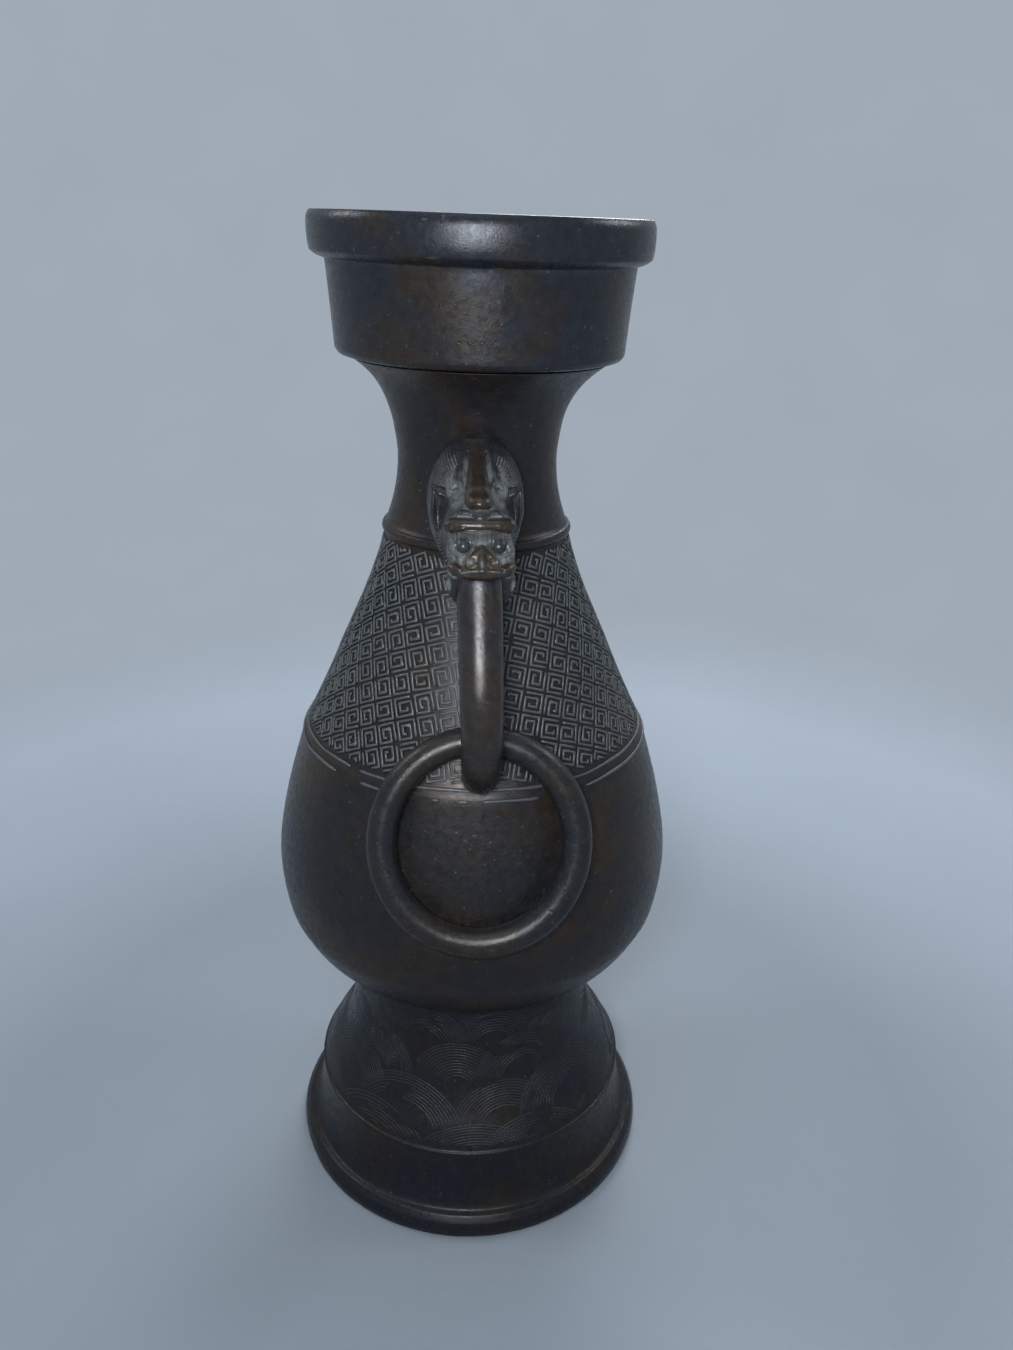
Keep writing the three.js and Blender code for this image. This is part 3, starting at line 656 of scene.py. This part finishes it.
def head_shape(p):
    """Signed distance to the beast's head. Left and right are alike, so x counts as its size only."""
    q = p.copy()
    q[..., 0] = np.abs(q[..., 0])
    x, y, z = q[..., 0], q[..., 1], q[..., 2]
    d = skull(x, y, z)
    d = blend(d, egg(q, (0, 40.8, 177.2), (4.7, 5.8, 3.4)), 1.2)

    # Cheeks, and the hollows between the horn and the ears
    d = blend(d, egg(q, (4.6, 45.0, 181.2), (1.7, 4.0, 3.0)), 1.2)
    d = carve(d, egg(q, (5.0, 38.5, 191.6), (2.0, 5.4, 2.5)), 1.2)

    # Corners of the mouth, drawn back over the cheeks
    corner = chain(q, [(5.2, 49.0, 178.7, 0.3), (5.7, 44.5, 177.8, 0.5), (6.0, 41.2, 178.7, 0.5),
                       (6.3, 38.8, 180.8, 0.35)])
    d = carve(d, corner, 0.25)

    # Mane: fine locks that run forward from the neck, ending in a step at the ears
    locks = smoothstep(y, 31.6, 30.0) * smoothstep(x, 3.0, 4.2)
    locks = locks * (0.35 + 0.65 * smoothstep(z, 196.0, 192.5)) * (0.8 + 0.2 * np.sin(x * 2.9 + z * 0.7))
    round_head = np.arctan2(z - MANE_MIDDLE, x)
    d = d - 0.16 * locks * np.sin(round_head * TAU / MANE_TURN + 0.9 * np.sin(y * 0.5))
    d = d + 0.45 * smoothstep(y, 29.6, 31.4) * smoothstep(x, 3.2, 4.4) * smoothstep(y, 38.0, 34.0)

    # Horn that swells towards the brow between two grooves, with a lesser hooked ridge on each side of it
    groove = chain(q, [(1.9, 27.0, 196.3, 0.2), (2.3, 31.0, 194.3, 0.45), (3.0, 37.0, 191.2, 0.55),
                       (3.9, 41.6, 188.9, 0.4)])
    d = blend(carve(d, groove, 0.5), horn(q), 0.35)
    hook = chain(q, [(2.55, 22.4, 196.2, 0.6), (3.0, 27.0, 195.0, 0.95), (3.5, 31.5, 192.7, 1.1),
                     (4.2, 34.0, 191.2, 0.7), (4.9, 34.4, 190.7, 0.35)])
    d = blend(d, hook, 0.3)

    # Brow: an arched lid over a thick roll, with an almond hollow on each side between them
    d = blend(d, chain(q, [(0, 43.8, 187.9, 1.15), (3.1, 43.6, 187.8, 1.1), (5.6, 43.1, 186.6, 0.85)]), 0.2)
    d = carve(d, egg(q, (3.3, 45.1, 187.95), (1.75, 0.95, 0.52)), 0.15)
    d = blend(d, egg(q, (0, 44.5, 187.3), (1.75, 1.2, 1.3)), 0.3)
    d = blend(d, brow_roll(q), 0.15)

    # Eyes in their sockets under the brow, with lids and wrinkles above the nose
    d = carve(d, egg(q, (3.35, 48.8, 183.1), (2.2, 1.3, 1.9)), 0.6)
    d = blend(d, egg(q, (3.3, 47.1, 182.9), (1.45, 1.6, 1.4)), 0.3)
    d = blend(d, hoop(q, (3.35, 47.4, 183.0), (0.3, 0.85, 0.45), 2.05, 0.34), 0.3)
    brow_lines = smoothstep(z, 183.6, 184.2) * smoothstep(z, 185.4, 184.9) * smoothstep(y, 45.0, 46.5)
    d = d - 0.09 * brow_lines * np.sin(x * TAU / 0.75)
    from_eye = np.sqrt((x - 3.2) ** 2 + (y - 47.3) ** 2 + (z - 182.9) ** 2)
    lids = smoothstep(from_eye, 2.0, 2.3) * smoothstep(from_eye, 4.2, 3.4)
    lids = lids * smoothstep(x, 2.6, 3.6) * smoothstep(y, 43.6, 45.2)
    d = d - 0.08 * lids * np.sin(from_eye * TAU / 0.62)

    # Nose: a three-cornered plate with two coiled nostrils and a ridge down its middle
    d = carve(d, egg(q, (3.9, 50.6, 181.3), (1.1, 1.6, 1.5)), 0.5)
    d = blend(d, nose_plate(x, y, z), 0.12)
    d = carve(d, egg(q, (2.05, 52.3, 181.2), (1.3, 0.95, 1.15)), 0.35)
    coil = chain(q, [(2.9, 51.3, 180.5, 0.3), (2.1, 51.9, 180.1, 0.35), (1.25, 52.0, 180.7, 0.3),
                     (1.3, 51.5, 181.5, 0.2)])
    d = blend(d, coil, 0.3)
    d = blend(d, chain(q, [(0, 50.4, 182.6, 0.5), (0, 51.8, 181.2, 0.6), (0, 52.4, 179.8, 0.7)]), 0.6)

    # Upper lip: a flat roll that runs round the muzzle
    d = blend(d, lip_roll(q), 0.25)

    # Jaw folds: pointed leaves that clasp the loop
    fold = chain(q, [(5.0, 47.8, 177.6, 1.3), (5.4, 47.3, 175.6, 1.4), (5.2, 47.0, 173.8, 0.95),
                     (4.8, 46.8, 171.9, 0.3)])
    d = blend(d, carve(fold, egg(q, (6.4, 48.7, 175.2), (0.8, 1.2, 2.3)), 0.2), 0.3)

    # Ears: broad hollow leaves with a pointed tip
    ear = egg(q, (7.25, 31.4, 185.8), (2.15, 1.9, 4.7))
    ear = blend(ear, rod(q, (7.8, 31.2, 188.4), (8.9, 31.0, 190.8), 1.2, 0.3), 0.8)
    tip = rod(q, (7.7, 32.6, 187.8), (8.5, 32.2, 189.8), 0.7, 0.2)
    hollow = blend(egg(q, (7.2, 33.3, 185.5), (1.5, 1.9, 3.7)), tip, 0.6)
    return blend(d, carve(ear, hollow, 0.2), 0.35)


def surface_nets(field, origin, step):
    """Quads over the zero level of a field sampled on a grid."""
    shape = np.array(field.shape) - 1
    corner = [(i, j, k) for i in (0, 1) for j in (0, 1) for k in (0, 1)]
    value = np.stack([field[i:i + shape[0], j:j + shape[1], k:k + shape[2]] for i, j, k in corner], -1)
    inside = value < 0
    active = inside.any(-1) & ~inside.all(-1)
    cell = np.argwhere(active)
    value = value[active]
    inside = value < 0
    total = np.zeros((len(cell), 3))
    crossings = np.zeros(len(cell))
    place = np.array(corner, float)
    for a in range(8):
        for b in range(a + 1, 8):
            if np.abs(place[a] - place[b]).sum() == 1:
                crossed = inside[:, a] != inside[:, b]
                t = value[:, a] / np.where(crossed, value[:, a] - value[:, b], 1)
                total += crossed[:, None] * (place[a] + t[:, None] * (place[b] - place[a]))
                crossings += crossed
    points = (cell + total / crossings[:, None]) * step + origin
    number = np.full(active.shape, -1)
    number[tuple(cell.T)] = np.arange(len(cell))
    faces = []
    for axis in range(3):
        u, v = [a for a in range(3) if a != axis]
        near = [slice(1, n) for n in shape]
        near[axis] = slice(0, shape[axis])
        far = list(near)
        far[axis] = slice(1, shape[axis] + 1)
        a, b = field[tuple(near)] < 0, field[tuple(far)] < 0
        edge = np.argwhere(a != b)
        edge[:, u] += 1
        edge[:, v] += 1
        first_inside = field[tuple(edge.T)] < 0
        around = []
        for du, dv in ((-1, -1), (0, -1), (0, 0), (-1, 0)):
            index = edge.copy()
            index[:, u] += du
            index[:, v] += dv
            around.append(number[tuple(index.T)])
        quad = np.stack(around, 1)
        flip = first_inside ^ (axis == 1)
        quad[~flip] = quad[~flip][:, ::-1]
        faces.append(quad)
    return points, np.vstack(faces)


def beast_head():
    """Points, faces and paint of the head, cut just inside the wall that it sits on. The fine grid is filled
    only near the surface, which a coarse one finds first."""
    low, high = np.array(HEAD_LOW), np.array(HEAD_HIGH)
    heights = np.linspace(168, 203, 80)
    profile = smooth_outline(outline("vessel_body"))
    radii = np.array([outer_radius(profile, h) for h in heights])

    def field(p):
        wall = np.interp(p[..., 2], heights, radii) - HEAD_SUNK - np.hypot(p[..., 0], p[..., 1])
        return np.maximum(head_shape(p), wall)

    coarse = HEAD_COARSE * HEAD_STEP
    cells = np.ceil((high - low) / coarse).astype(int)
    lines = (low[k] + coarse * np.arange(cells[k] + 1) for k in range(3))
    rough = field(np.stack(np.meshgrid(*lines, indexing="ij"), -1))
    steps = [np.arange(HEAD_COARSE * count + 1) for count in cells]
    nearest = [np.minimum((s + HEAD_COARSE // 2) // HEAD_COARSE, count) for s, count in zip(steps, cells)]
    fine = rough[np.ix_(*nearest)]
    close = np.argwhere(np.abs(fine) < HEAD_REACH * coarse)
    fine[tuple(close.T)] = field(low + HEAD_STEP * close)
    points, faces = surface_nets(fine, low, HEAD_STEP)
    return points, faces, *head_paint(points)


def loop_bar():
    """Points and faces of the bar round a smooth curve through the loop's middle line."""
    route = np.array(BAR_ROUTE)
    path = []
    for i in range(1, len(route) - 2):
        path.extend(spline_between(route[i - 1], route[i], route[i + 1], route[i + 2], BAR_STEPS))
    path = np.array(path)
    run = unit(np.gradient(path, axis=0))
    turn = np.arange(BAR_SIDES) * TAU / BAR_SIDES
    y, z = path[:, :1], path[:, 1:]
    share = np.linspace(0, 1, len(path))[:, None]
    across = (BAR_LOW + (BAR_HIGH - BAR_LOW) * share) * np.cos(turn)
    out = BAR_HALF_DEPTH * np.sin(turn) * np.ones_like(share)
    points = np.stack([across, y + out * run[:, 1:], z - out * run[:, :1]], axis=-1)
    rings = len(path)
    faces = grid_faces(rings, len(turn)).tolist()
    faces.append(list(range(len(turn)))[::-1])
    faces.append([(rings - 1) * len(turn) + k for k in range(len(turn))])
    return points.reshape(-1, 3), faces


def head_paint(points):
    """For each point of the head, how deep in a hollow it lies and whether it is on a part that hands rub."""
    step, near_by, far_off = 0.35, 0.3, 1.7
    slopes = [head_shape(points + d) - head_shape(points - d) for d in step * np.eye(3)]
    out = unit(np.stack(slopes, axis=1))
    near, far = head_shape(points + near_by * out), head_shape(points + far_off * out)
    open_share = far / far_off / np.maximum(near / near_by, 0.2)
    q = np.abs(points * (1, 0, 0)) + points * (0, 1, 1)
    rolls = np.minimum.reduce([horn(q), brow_roll(q), lip_roll(q)])
    proud = np.minimum(rolls, nose_plate(*q.T))
    x, y, z = q.T
    hollow = smoothstep(open_share, 0.97, 0.55)
    hollow = np.maximum(hollow, 0.8 * smoothstep(egg(q, (4.7, 37.6, 190.6), (2.2, 4.6, 2.6)), 0.7, -0.6))
    beside_nose = smoothstep(nose_plate(x, y, z), 0.1, 0.5) * smoothstep(y, 46.0, 47.5)
    beside_nose *= smoothstep(z, 179.5, 180.5) * smoothstep(z, 185.6, 184.8)
    hollow = np.maximum(hollow, 0.45 * beside_nose)
    lower_mane = smoothstep(y, 31.6, 30.6) * smoothstep(x, 3.6, 4.6)
    lower_mane *= smoothstep(z, 196.0, 193.5) * smoothstep(z, 180.0, 187.0)
    hollow = np.maximum(hollow, 0.35 * lower_mane)
    hollow *= 1 - smoothstep(z, 180.9, 180.3) * smoothstep(x, 3.0, 2.0)
    inside_ear = smoothstep(x, 5.6, 6.4) * smoothstep(y, 37.0, 35.0) * smoothstep(z, 180.0, 182.0)
    eye = smoothstep(np.linalg.norm(q - (3.3, 47.1, 182.9), axis=1), 2.2, 1.6)
    hollow *= (1 - 0.85 * inside_ear) * (1 - 0.85 * eye) * (1 - 0.5 * smoothstep(z, 193.0, 196.0))
    return hollow * (1 - smoothstep(rolls, 0.35, 0.05)), smoothstep(proud, 0.7, 0.1)


def attribute(piece, name, values):
    """Writes one number a point, which the material reads by name."""
    layer = piece.data.attributes.new(name, "FLOAT", "POINT")
    layer.data.foreach_set("value", np.asarray(values, np.float32))


def handle(name, node, head, bar, front):
    """Head and loop of one handle, as one piece."""
    points = np.vstack([head[0], bar[0]])
    faces = head[1].tolist() + [[v + len(head[0]) for v in f] for f in bar[1]]
    points[:, 0] += LEAN_AT_MUZZLE * smoothstep(points[:, 2], 140, 172)
    points[:, 0] += LEAN_AT_EARS * smoothstep(points[:, 1], 52, 34) * smoothstep(points[:, 2], 165, 174)
    if front:
        points = points * (-1, -1, 1)
    piece = mesh_object(name, points, faces)
    under_lip = smoothstep(bar[0][:, 2], 170, 178)
    attribute(piece, "hollow", np.concatenate([head[2], 0.22 * under_lip]))
    attribute(piece, "rubbed", np.concatenate([head[3], 0.75 - 0.7 * under_lip]))
    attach(piece, "vase")
    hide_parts(node)
    return piece


def loose_ring(name, node, seed):
    """A ring a little uneven in thickness, as cast and filed, round the solid's own centre line."""
    low, high = (np.array(c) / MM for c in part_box(node))
    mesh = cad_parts[node].data
    points = np.array([v.co for v in mesh.vertices]) / MM
    centre = (points.min(0) + points.max(0)) / 2
    top = points[np.abs(points[:, 0]) < 2]
    upper = top[top[:, 2] > centre[2]].mean(0)
    lower = top[top[:, 2] < centre[2]].mean(0)
    centre = (upper + lower) / 2
    half_height = np.linalg.norm(upper - lower) / 2
    tube = (high[0] - low[0]) / 2 - RING_HALF_WIDTH
    up = (upper - lower) / np.linalg.norm(upper - lower)
    right = np.array([1.0, 0, 0])
    face = np.cross(right, up)
    turn = np.arange(RING_STEPS) * TAU / RING_STEPS
    around = np.arange(RING_SIDES) * TAU / RING_SIDES
    rows = []
    for t in turn:
        middle = centre + right * RING_HALF_WIDTH * math.sin(t) + up * half_height * math.cos(t)
        out = right * math.sin(t) * half_height + up * math.cos(t) * RING_HALF_WIDTH
        out /= np.linalg.norm(out)
        thick = tube * (0.97 + 0.03 * math.sin(t - 0.4) + 0.012 * math.sin(3 * t + seed))
        rows.append(middle + thick * (np.cos(around)[:, None] * out + np.sin(around)[:, None] * face))
    piece = mesh_object(name, np.vstack(rows), grid_faces(len(turn), len(around), True)[:, ::-1])
    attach(piece, node)
    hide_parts(node)
    return piece


# Materials: gleam of plain bronze, reach of the dust and of the painted shade in recesses, textures by waves
# a metre, and colours

GLEAM = 0.30
RECESS = 2.2 * MM
PATCHES = 45
RUBBED_PATCHES = 130
MOTTLE = 420
PITS = 480
SHINE = 700
SPECKS = 1100
GRAIN = 2100
DARK = (0.015, 0.017, 0.022)
BLACK = (0.012, 0.013, 0.017)
BROWN = (0.032, 0.023, 0.016)
DUST = (0.15, 0.16, 0.155)
PALE_DUST = (0.13, 0.14, 0.135)
SPECK = (0.075, 0.082, 0.092)
WORN = (0.050, 0.042, 0.034)
RING_DARK = (0.012, 0.013, 0.015)
RING_BROWN = (0.019, 0.015, 0.012)
BODY_DARK = (0.015, 0.015, 0.017)
BODY_BROWN = (0.028, 0.019, 0.013)
FRET_DARK = (0.018, 0.020, 0.022)
FRET_PALE = (0.085, 0.092, 0.097)
FRET_WORN = (0.075, 0.080, 0.082)
WAVE_DARK = (0.016, 0.018, 0.022)
WAVE_PALE = (0.026, 0.030, 0.033)
WAVE_WORN = (0.034, 0.038, 0.040)
HEAD_DARK = (0.024, 0.025, 0.029)


def shader(name):
    """A new material, its nodes, its links and its main shader."""
    material = bpy.data.materials.new(name)
    material.use_nodes = True
    nodes, links = material.node_tree.nodes, material.node_tree.links
    return material, nodes, links, nodes["Principled BSDF"]


def noise(nodes, links, scale, detail, rough=0.55):
    """Noise with about so many waves a metre."""
    node = nodes.new("ShaderNodeTexNoise")
    node.inputs["Scale"].default_value = scale
    node.inputs["Detail"].default_value = detail
    node.inputs["Roughness"].default_value = rough
    links.new(nodes["Place"].outputs["Object"], node.inputs["Vector"])
    return node.outputs["Fac"]


def ramp(nodes, links, source, stops):
    """Colour or grey that follows a number through stops (number, colour)."""
    node = nodes.new("ShaderNodeValToRGB")
    elements = node.color_ramp.elements
    while len(elements) < len(stops):
        elements.new(0.5)
    for element, (place, colour) in zip(elements, stops):
        element.position = place
        element.color = (*colour, 1) if isinstance(colour, tuple) else (colour, colour, colour, 1)
    links.new(source, node.inputs["Fac"])
    return node.outputs["Color"]


def mix(nodes, links, share, a, b, kind="MIX"):
    """Mix of two colours or sockets by a share, which may be a socket too."""
    node = nodes.new("ShaderNodeMix")
    node.data_type = "RGBA"
    node.blend_type = kind
    for socket, value in ((node.inputs["Factor"], share), (node.inputs[6], a), (node.inputs[7], b)):
        if isinstance(value, (tuple, float, int)):
            socket.default_value = (*value, 1) if isinstance(value, tuple) else value
        else:
            links.new(value, socket)
    return node.outputs[2]


def bronze(name, dark, brown, dust, brown_share, dust_share, gloss, worn=WORN, metal=0.4, sculpted=False):
    """Patinated bronze: dark and brown patches, dust in the recesses, and edges worn to another colour. On a
    sculpted piece its own paint says where the hollows and the rubbed parts are. On the other pieces the
    recesses also get painted shade: their colour is darkened and their reflections are weakened."""
    material, nodes, links, skin = shader(name)
    place = nodes.new("ShaderNodeTexCoord")
    place.name = "Place"
    patches = ramp(nodes, links, noise(nodes, links, PATCHES, 5), [(0.5 - brown_share / 2, 0.0), (0.62, 1.0)])
    if sculpted:
        broken = ramp(nodes, links, noise(nodes, links, RUBBED_PATCHES, 4), [(0.3, 0.35), (0.6, 1.0)])
        patches = mix(nodes, links, 1.0, painted(nodes, "rubbed"), broken, "MULTIPLY")
    colour = mix(nodes, links, patches, dark, brown)
    mottle = ramp(nodes, links, noise(nodes, links, MOTTLE, 6, 0.65), [(0.30, 0.72), (0.70, 1.22)])
    colour = mix(nodes, links, 1.0, colour, mottle, "MULTIPLY")
    specks = ramp(nodes, links, noise(nodes, links, SPECKS, 3, 0.6), [(0.66, 0.0), (0.72, 0.8)])
    colour = mix(nodes, links, specks, colour, SPECK)
    shape = nodes.new("ShaderNodeNewGeometry")
    edge = ramp(nodes, links, shape.outputs["Pointiness"], [(0.52, 0.0), (0.60, 1.0)])
    colour = mix(nodes, links, edge, colour, worn)
    if sculpted:
        hollow = painted(nodes, "hollow")
    else:
        recess = nodes.new("ShaderNodeAmbientOcclusion")
        recess.samples = 8
        recess.inputs["Distance"].default_value = RECESS
        hollow = ramp(nodes, links, recess.outputs["AO"], [(0.35, 1.0), (0.85, 0.0)])
        # Painted shade: the colour in recesses is darkened, and the specular level with it
        shade = ramp(nodes, links, recess.outputs["AO"], [(0.35, 0.3), (0.85, 1.0)])
        colour = mix(nodes, links, 1.0, colour, shade, "MULTIPLY")
        gleam = mix(nodes, links, 1.0, shade, (GLEAM,) * 3, "MULTIPLY")
        links.new(gleam, skin.inputs["Specular IOR Level"])
    powder = ramp(nodes, links, noise(nodes, links, MOTTLE, 6, 0.75), [(0.38, 0.20), (0.58, 1.0)])
    dusty = mix(nodes, links, 1.0, hollow, powder, "MULTIPLY")
    dusty = mix(nodes, links, 1.0, dusty, (dust_share,) * 3, "MULTIPLY")
    colour = mix(nodes, links, dusty, colour, dust)
    links.new(colour, skin.inputs["Base Color"])
    shine = ramp(nodes, links, noise(nodes, links, SHINE, 5, 0.65), [(0.34, gloss[0]), (0.66, gloss[1])])
    links.new(mix(nodes, links, dusty, shine, (0.8,) * 3), skin.inputs["Roughness"])
    skin.inputs["Metallic"].default_value = metal
    skin.inputs["Specular IOR Level"].default_value = GLEAM
    grain = nodes.new("ShaderNodeBump")
    grain.inputs["Strength"].default_value = 0.6
    grain.inputs["Distance"].default_value = 0.09 * MM
    links.new(noise(nodes, links, GRAIN, 4, 0.75), grain.inputs["Height"])
    pits = nodes.new("ShaderNodeBump")
    pits.inputs["Strength"].default_value = 0.3
    pits.inputs["Distance"].default_value = 0.12 * MM
    depth = ramp(nodes, links, noise(nodes, links, PITS, 2), [(0.26, 0.0), (0.34, 1.0)])
    links.new(depth, pits.inputs["Height"])
    links.new(grain.outputs["Normal"], pits.inputs["Normal"])
    links.new(pits.outputs["Normal"], skin.inputs["Normal"])
    return material


def painted(nodes, name):
    """A piece's own number at each point."""
    node = nodes.new("ShaderNodeAttribute")
    node.attribute_name = name
    return node.outputs["Fac"]


def backdrop_paint():
    """Pale paint, a little deeper on the table round the vase than on the wall, with a faint roughcast. Away
    from the vase it shows the paint's own colour to camera and reflections, even from every side."""
    material, nodes, links, skin = shader("pale_paint")
    place = nodes.new("ShaderNodeTexCoord")
    place.name = "Place"
    away = nodes.new("ShaderNodeVectorMath")
    away.operation = "LENGTH"
    links.new(place.outputs["Object"], away.inputs[0])
    away = away.outputs["Value"]
    uneven = ramp(nodes, links, noise(nodes, links, 14, 4), [(0.3, 0.96), (0.7, 1.0)])
    colour = ramp(nodes, links, away, [(TABLE_TO_WALL[0], TABLE_PAINT), (TABLE_TO_WALL[1], WALL_PAINT)])
    colour = mix(nodes, links, 1.0, colour, uneven, "MULTIPLY")
    links.new(colour, skin.inputs["Base Color"])
    skin.inputs["Roughness"].default_value = 0.7
    bumps = nodes.new("ShaderNodeBump")
    bumps.inputs["Strength"].default_value = 0.3
    bumps.inputs["Distance"].default_value = 0.8 * MM
    links.new(noise(nodes, links, 190, 3, 0.5), bumps.inputs["Height"])
    links.new(bumps.outputs["Normal"], skin.inputs["Normal"])
    ray = nodes.new("ShaderNodeLightPath")
    seen = mix(nodes, links, 1.0, ray.outputs["Is Camera Ray"], ray.outputs["Is Glossy Ray"], "ADD")
    seen = mix(nodes, links, 1.0, seen, ray.outputs["Is Transmission Ray"], "ADD")
    even = ramp(nodes, links, away, [(LIT_TO_EVEN[0], 0.0), (LIT_TO_EVEN[1], 1.0)])
    own = mix(nodes, links, 1.0, seen, even, "MULTIPLY")
    glow = nodes.new("ShaderNodeEmission")
    links.new(colour, glow.inputs["Color"])
    both = nodes.new("ShaderNodeMixShader")
    links.new(own, both.inputs["Fac"])
    links.new(skin.outputs["BSDF"], both.inputs[1])
    links.new(glow.outputs["Emission"], both.inputs[2])
    links.new(both.outputs["Shader"], nodes["Material Output"].inputs["Surface"])
    return material


def clad(piece, material):
    """Gives a piece its one material."""
    piece.data.materials.clear()
    piece.data.materials.append(material)
    return piece


# Studio

def camera():
    """The photograph's own view."""
    ahead = Vector((math.sin(CAMERA_YAW), math.cos(CAMERA_YAW), 0))
    forward = math.cos(CAMERA_PITCH) * ahead - math.sin(CAMERA_PITCH) * Vector((0, 0, 1))
    level = Vector((math.cos(CAMERA_YAW), -math.sin(CAMERA_YAW), 0))
    upright = level.cross(forward)
    right = math.cos(CAMERA_ROLL) * level + math.sin(CAMERA_ROLL) * upright
    up = -math.sin(CAMERA_ROLL) * level + math.cos(CAMERA_ROLL) * upright
    data = bpy.data.cameras.new("camera")
    data.sensor_width = SENSOR
    data.lens = FOCAL_PIXELS / IMAGE_HEIGHT * SENSOR
    data.clip_start = 0.01
    seat = bpy.data.objects.new("camera", data)
    turn = Matrix((right, up, -forward)).transposed()
    seat.matrix_world = Matrix.Translation(Vector(CAMERA_PLACE) * MM) @ turn.to_4x4()
    bpy.context.scene.collection.objects.link(seat)
    bpy.context.scene.camera = seat


def lamp(name, place, target, size, power, colour):
    """Round area lamp that faces its target."""
    data = bpy.data.lights.new(name, "AREA")
    data.shape = "DISK"
    data.size = size
    data.energy = power
    data.color = colour
    seat = bpy.data.objects.new(name, data)
    seat.location = place
    aim = Vector(target) - Vector(place)
    seat.rotation_euler = aim.to_track_quat("-Z", "Y").to_euler()
    bpy.context.scene.collection.objects.link(seat)


def studio():
    """Pale round table that sweeps up into a wall on every side, a key lamp beside the camera, weak lamps
    behind and at the sides, and a large one overhead."""
    bend = np.arange(0, 91, 6) * math.pi / 180
    reach = np.array([*(WALL_RADIUS - SWEEP + SWEEP * np.sin(bend)), WALL_RADIUS])
    rise = np.array([*(SWEEP - SWEEP * np.cos(bend)), WALL_HEIGHT])
    turn = np.arange(AROUND) * TAU / AROUND
    points = [(r * math.cos(t), r * math.sin(t), z) for r, z in zip(reach, rise) for t in turn]
    faces = grid_faces(len(reach), AROUND)[:, ::-1].tolist() + [list(range(AROUND))]
    sweep = mesh_object("sweep", points, faces)
    clad(sweep, backdrop_paint())
    lamp("key", (-0.028, -0.245, 0.250), (0, 0.02, 0.14), KEY_SIZE, KEY_POWER, KEY_COLOUR)
    lamp("rear", (0.10, 0.36, 0.46), LAMP_TARGET, REAR_SIZE, REAR_POWER, SOFT_COLOUR)
    for side in (-1, 1):
        lamp("side", (0.42 * side, 0.10, 0.46), LAMP_TARGET, SIDE_SIZE, SIDE_POWER, SOFT_COLOUR)
    lamp("ceiling", (-0.12, -0.20, 1.35), LAMP_TARGET, CEILING_SIZE, CEILING_POWER, SOFT_COLOUR)
    world = bpy.data.worlds.new("world")
    world.use_nodes = True
    sky = world.node_tree.nodes["Background"]
    sky.inputs["Color"].default_value = (*WORLD_COLOUR, 1)
    sky.inputs["Strength"].default_value = WORLD_STRENGTH
    bpy.context.scene.world = world
    bpy.context.scene.view_settings.view_transform = "Standard"


def build():
    """All the pieces with their materials."""
    dark = bronze("dark_bronze", DARK, (0.022, 0.017, 0.014), DUST, 0.0, 0.6, (0.18, 0.38), metal=0.3)
    ring = bronze("ring_bronze", RING_DARK, RING_BROWN, DUST, 0.0, 0.3, (0.20, 0.40), metal=0.2)
    brown = bronze("brown_bronze", BODY_DARK, BODY_BROWN, DUST, 0.10, 0.10, (0.26, 0.46))
    black = bronze("black_bronze", BLACK, (0.018, 0.014, 0.012), DUST, 0.05, 0.35, (0.22, 0.44))
    polished = bronze("polished_bronze", HEAD_DARK, BROWN, PALE_DUST, 0, 0.9, (0.17, 0.34), sculpted=True)
    relief = bronze("fret_bronze", FRET_DARK, FRET_PALE, DUST, 0.3, 0.2, (0.34, 0.52), FRET_WORN)
    lines = bronze("wave_bronze", WAVE_DARK, WAVE_PALE, DUST, 0.2, 0.15, (0.34, 0.5), WAVE_WORN)
    for name, node, slot, material, seed in (
            ("cup", "mouth_cup", "dark_bronze", dark, 1),
            ("body", "vessel_body", "brown_bronze", brown, 2),
            ("bell_foot", "foot", "black_bronze", black, 3)):
        piece = clad(turned_piece(name, node, seed), material)
    clad(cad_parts["belly_floor"], brown)
    for field in fret_relief():
        clad(field, relief)
    clad(border_lines(), relief)
    clad(foot_waves(), lines)
    head = beast_head()
    for name, node, front in (("front_beast", "front_handle", True), ("rear_beast", "rear_handle", False)):
        clad(handle(name, node, head, loop_bar(), front), polished)
    clad(loose_ring("front_loose_ring", "front_ring", 0.0), ring)
    clad(loose_ring("rear_loose_ring", "rear_ring", 2.0), ring)


camera()
studio()
build()
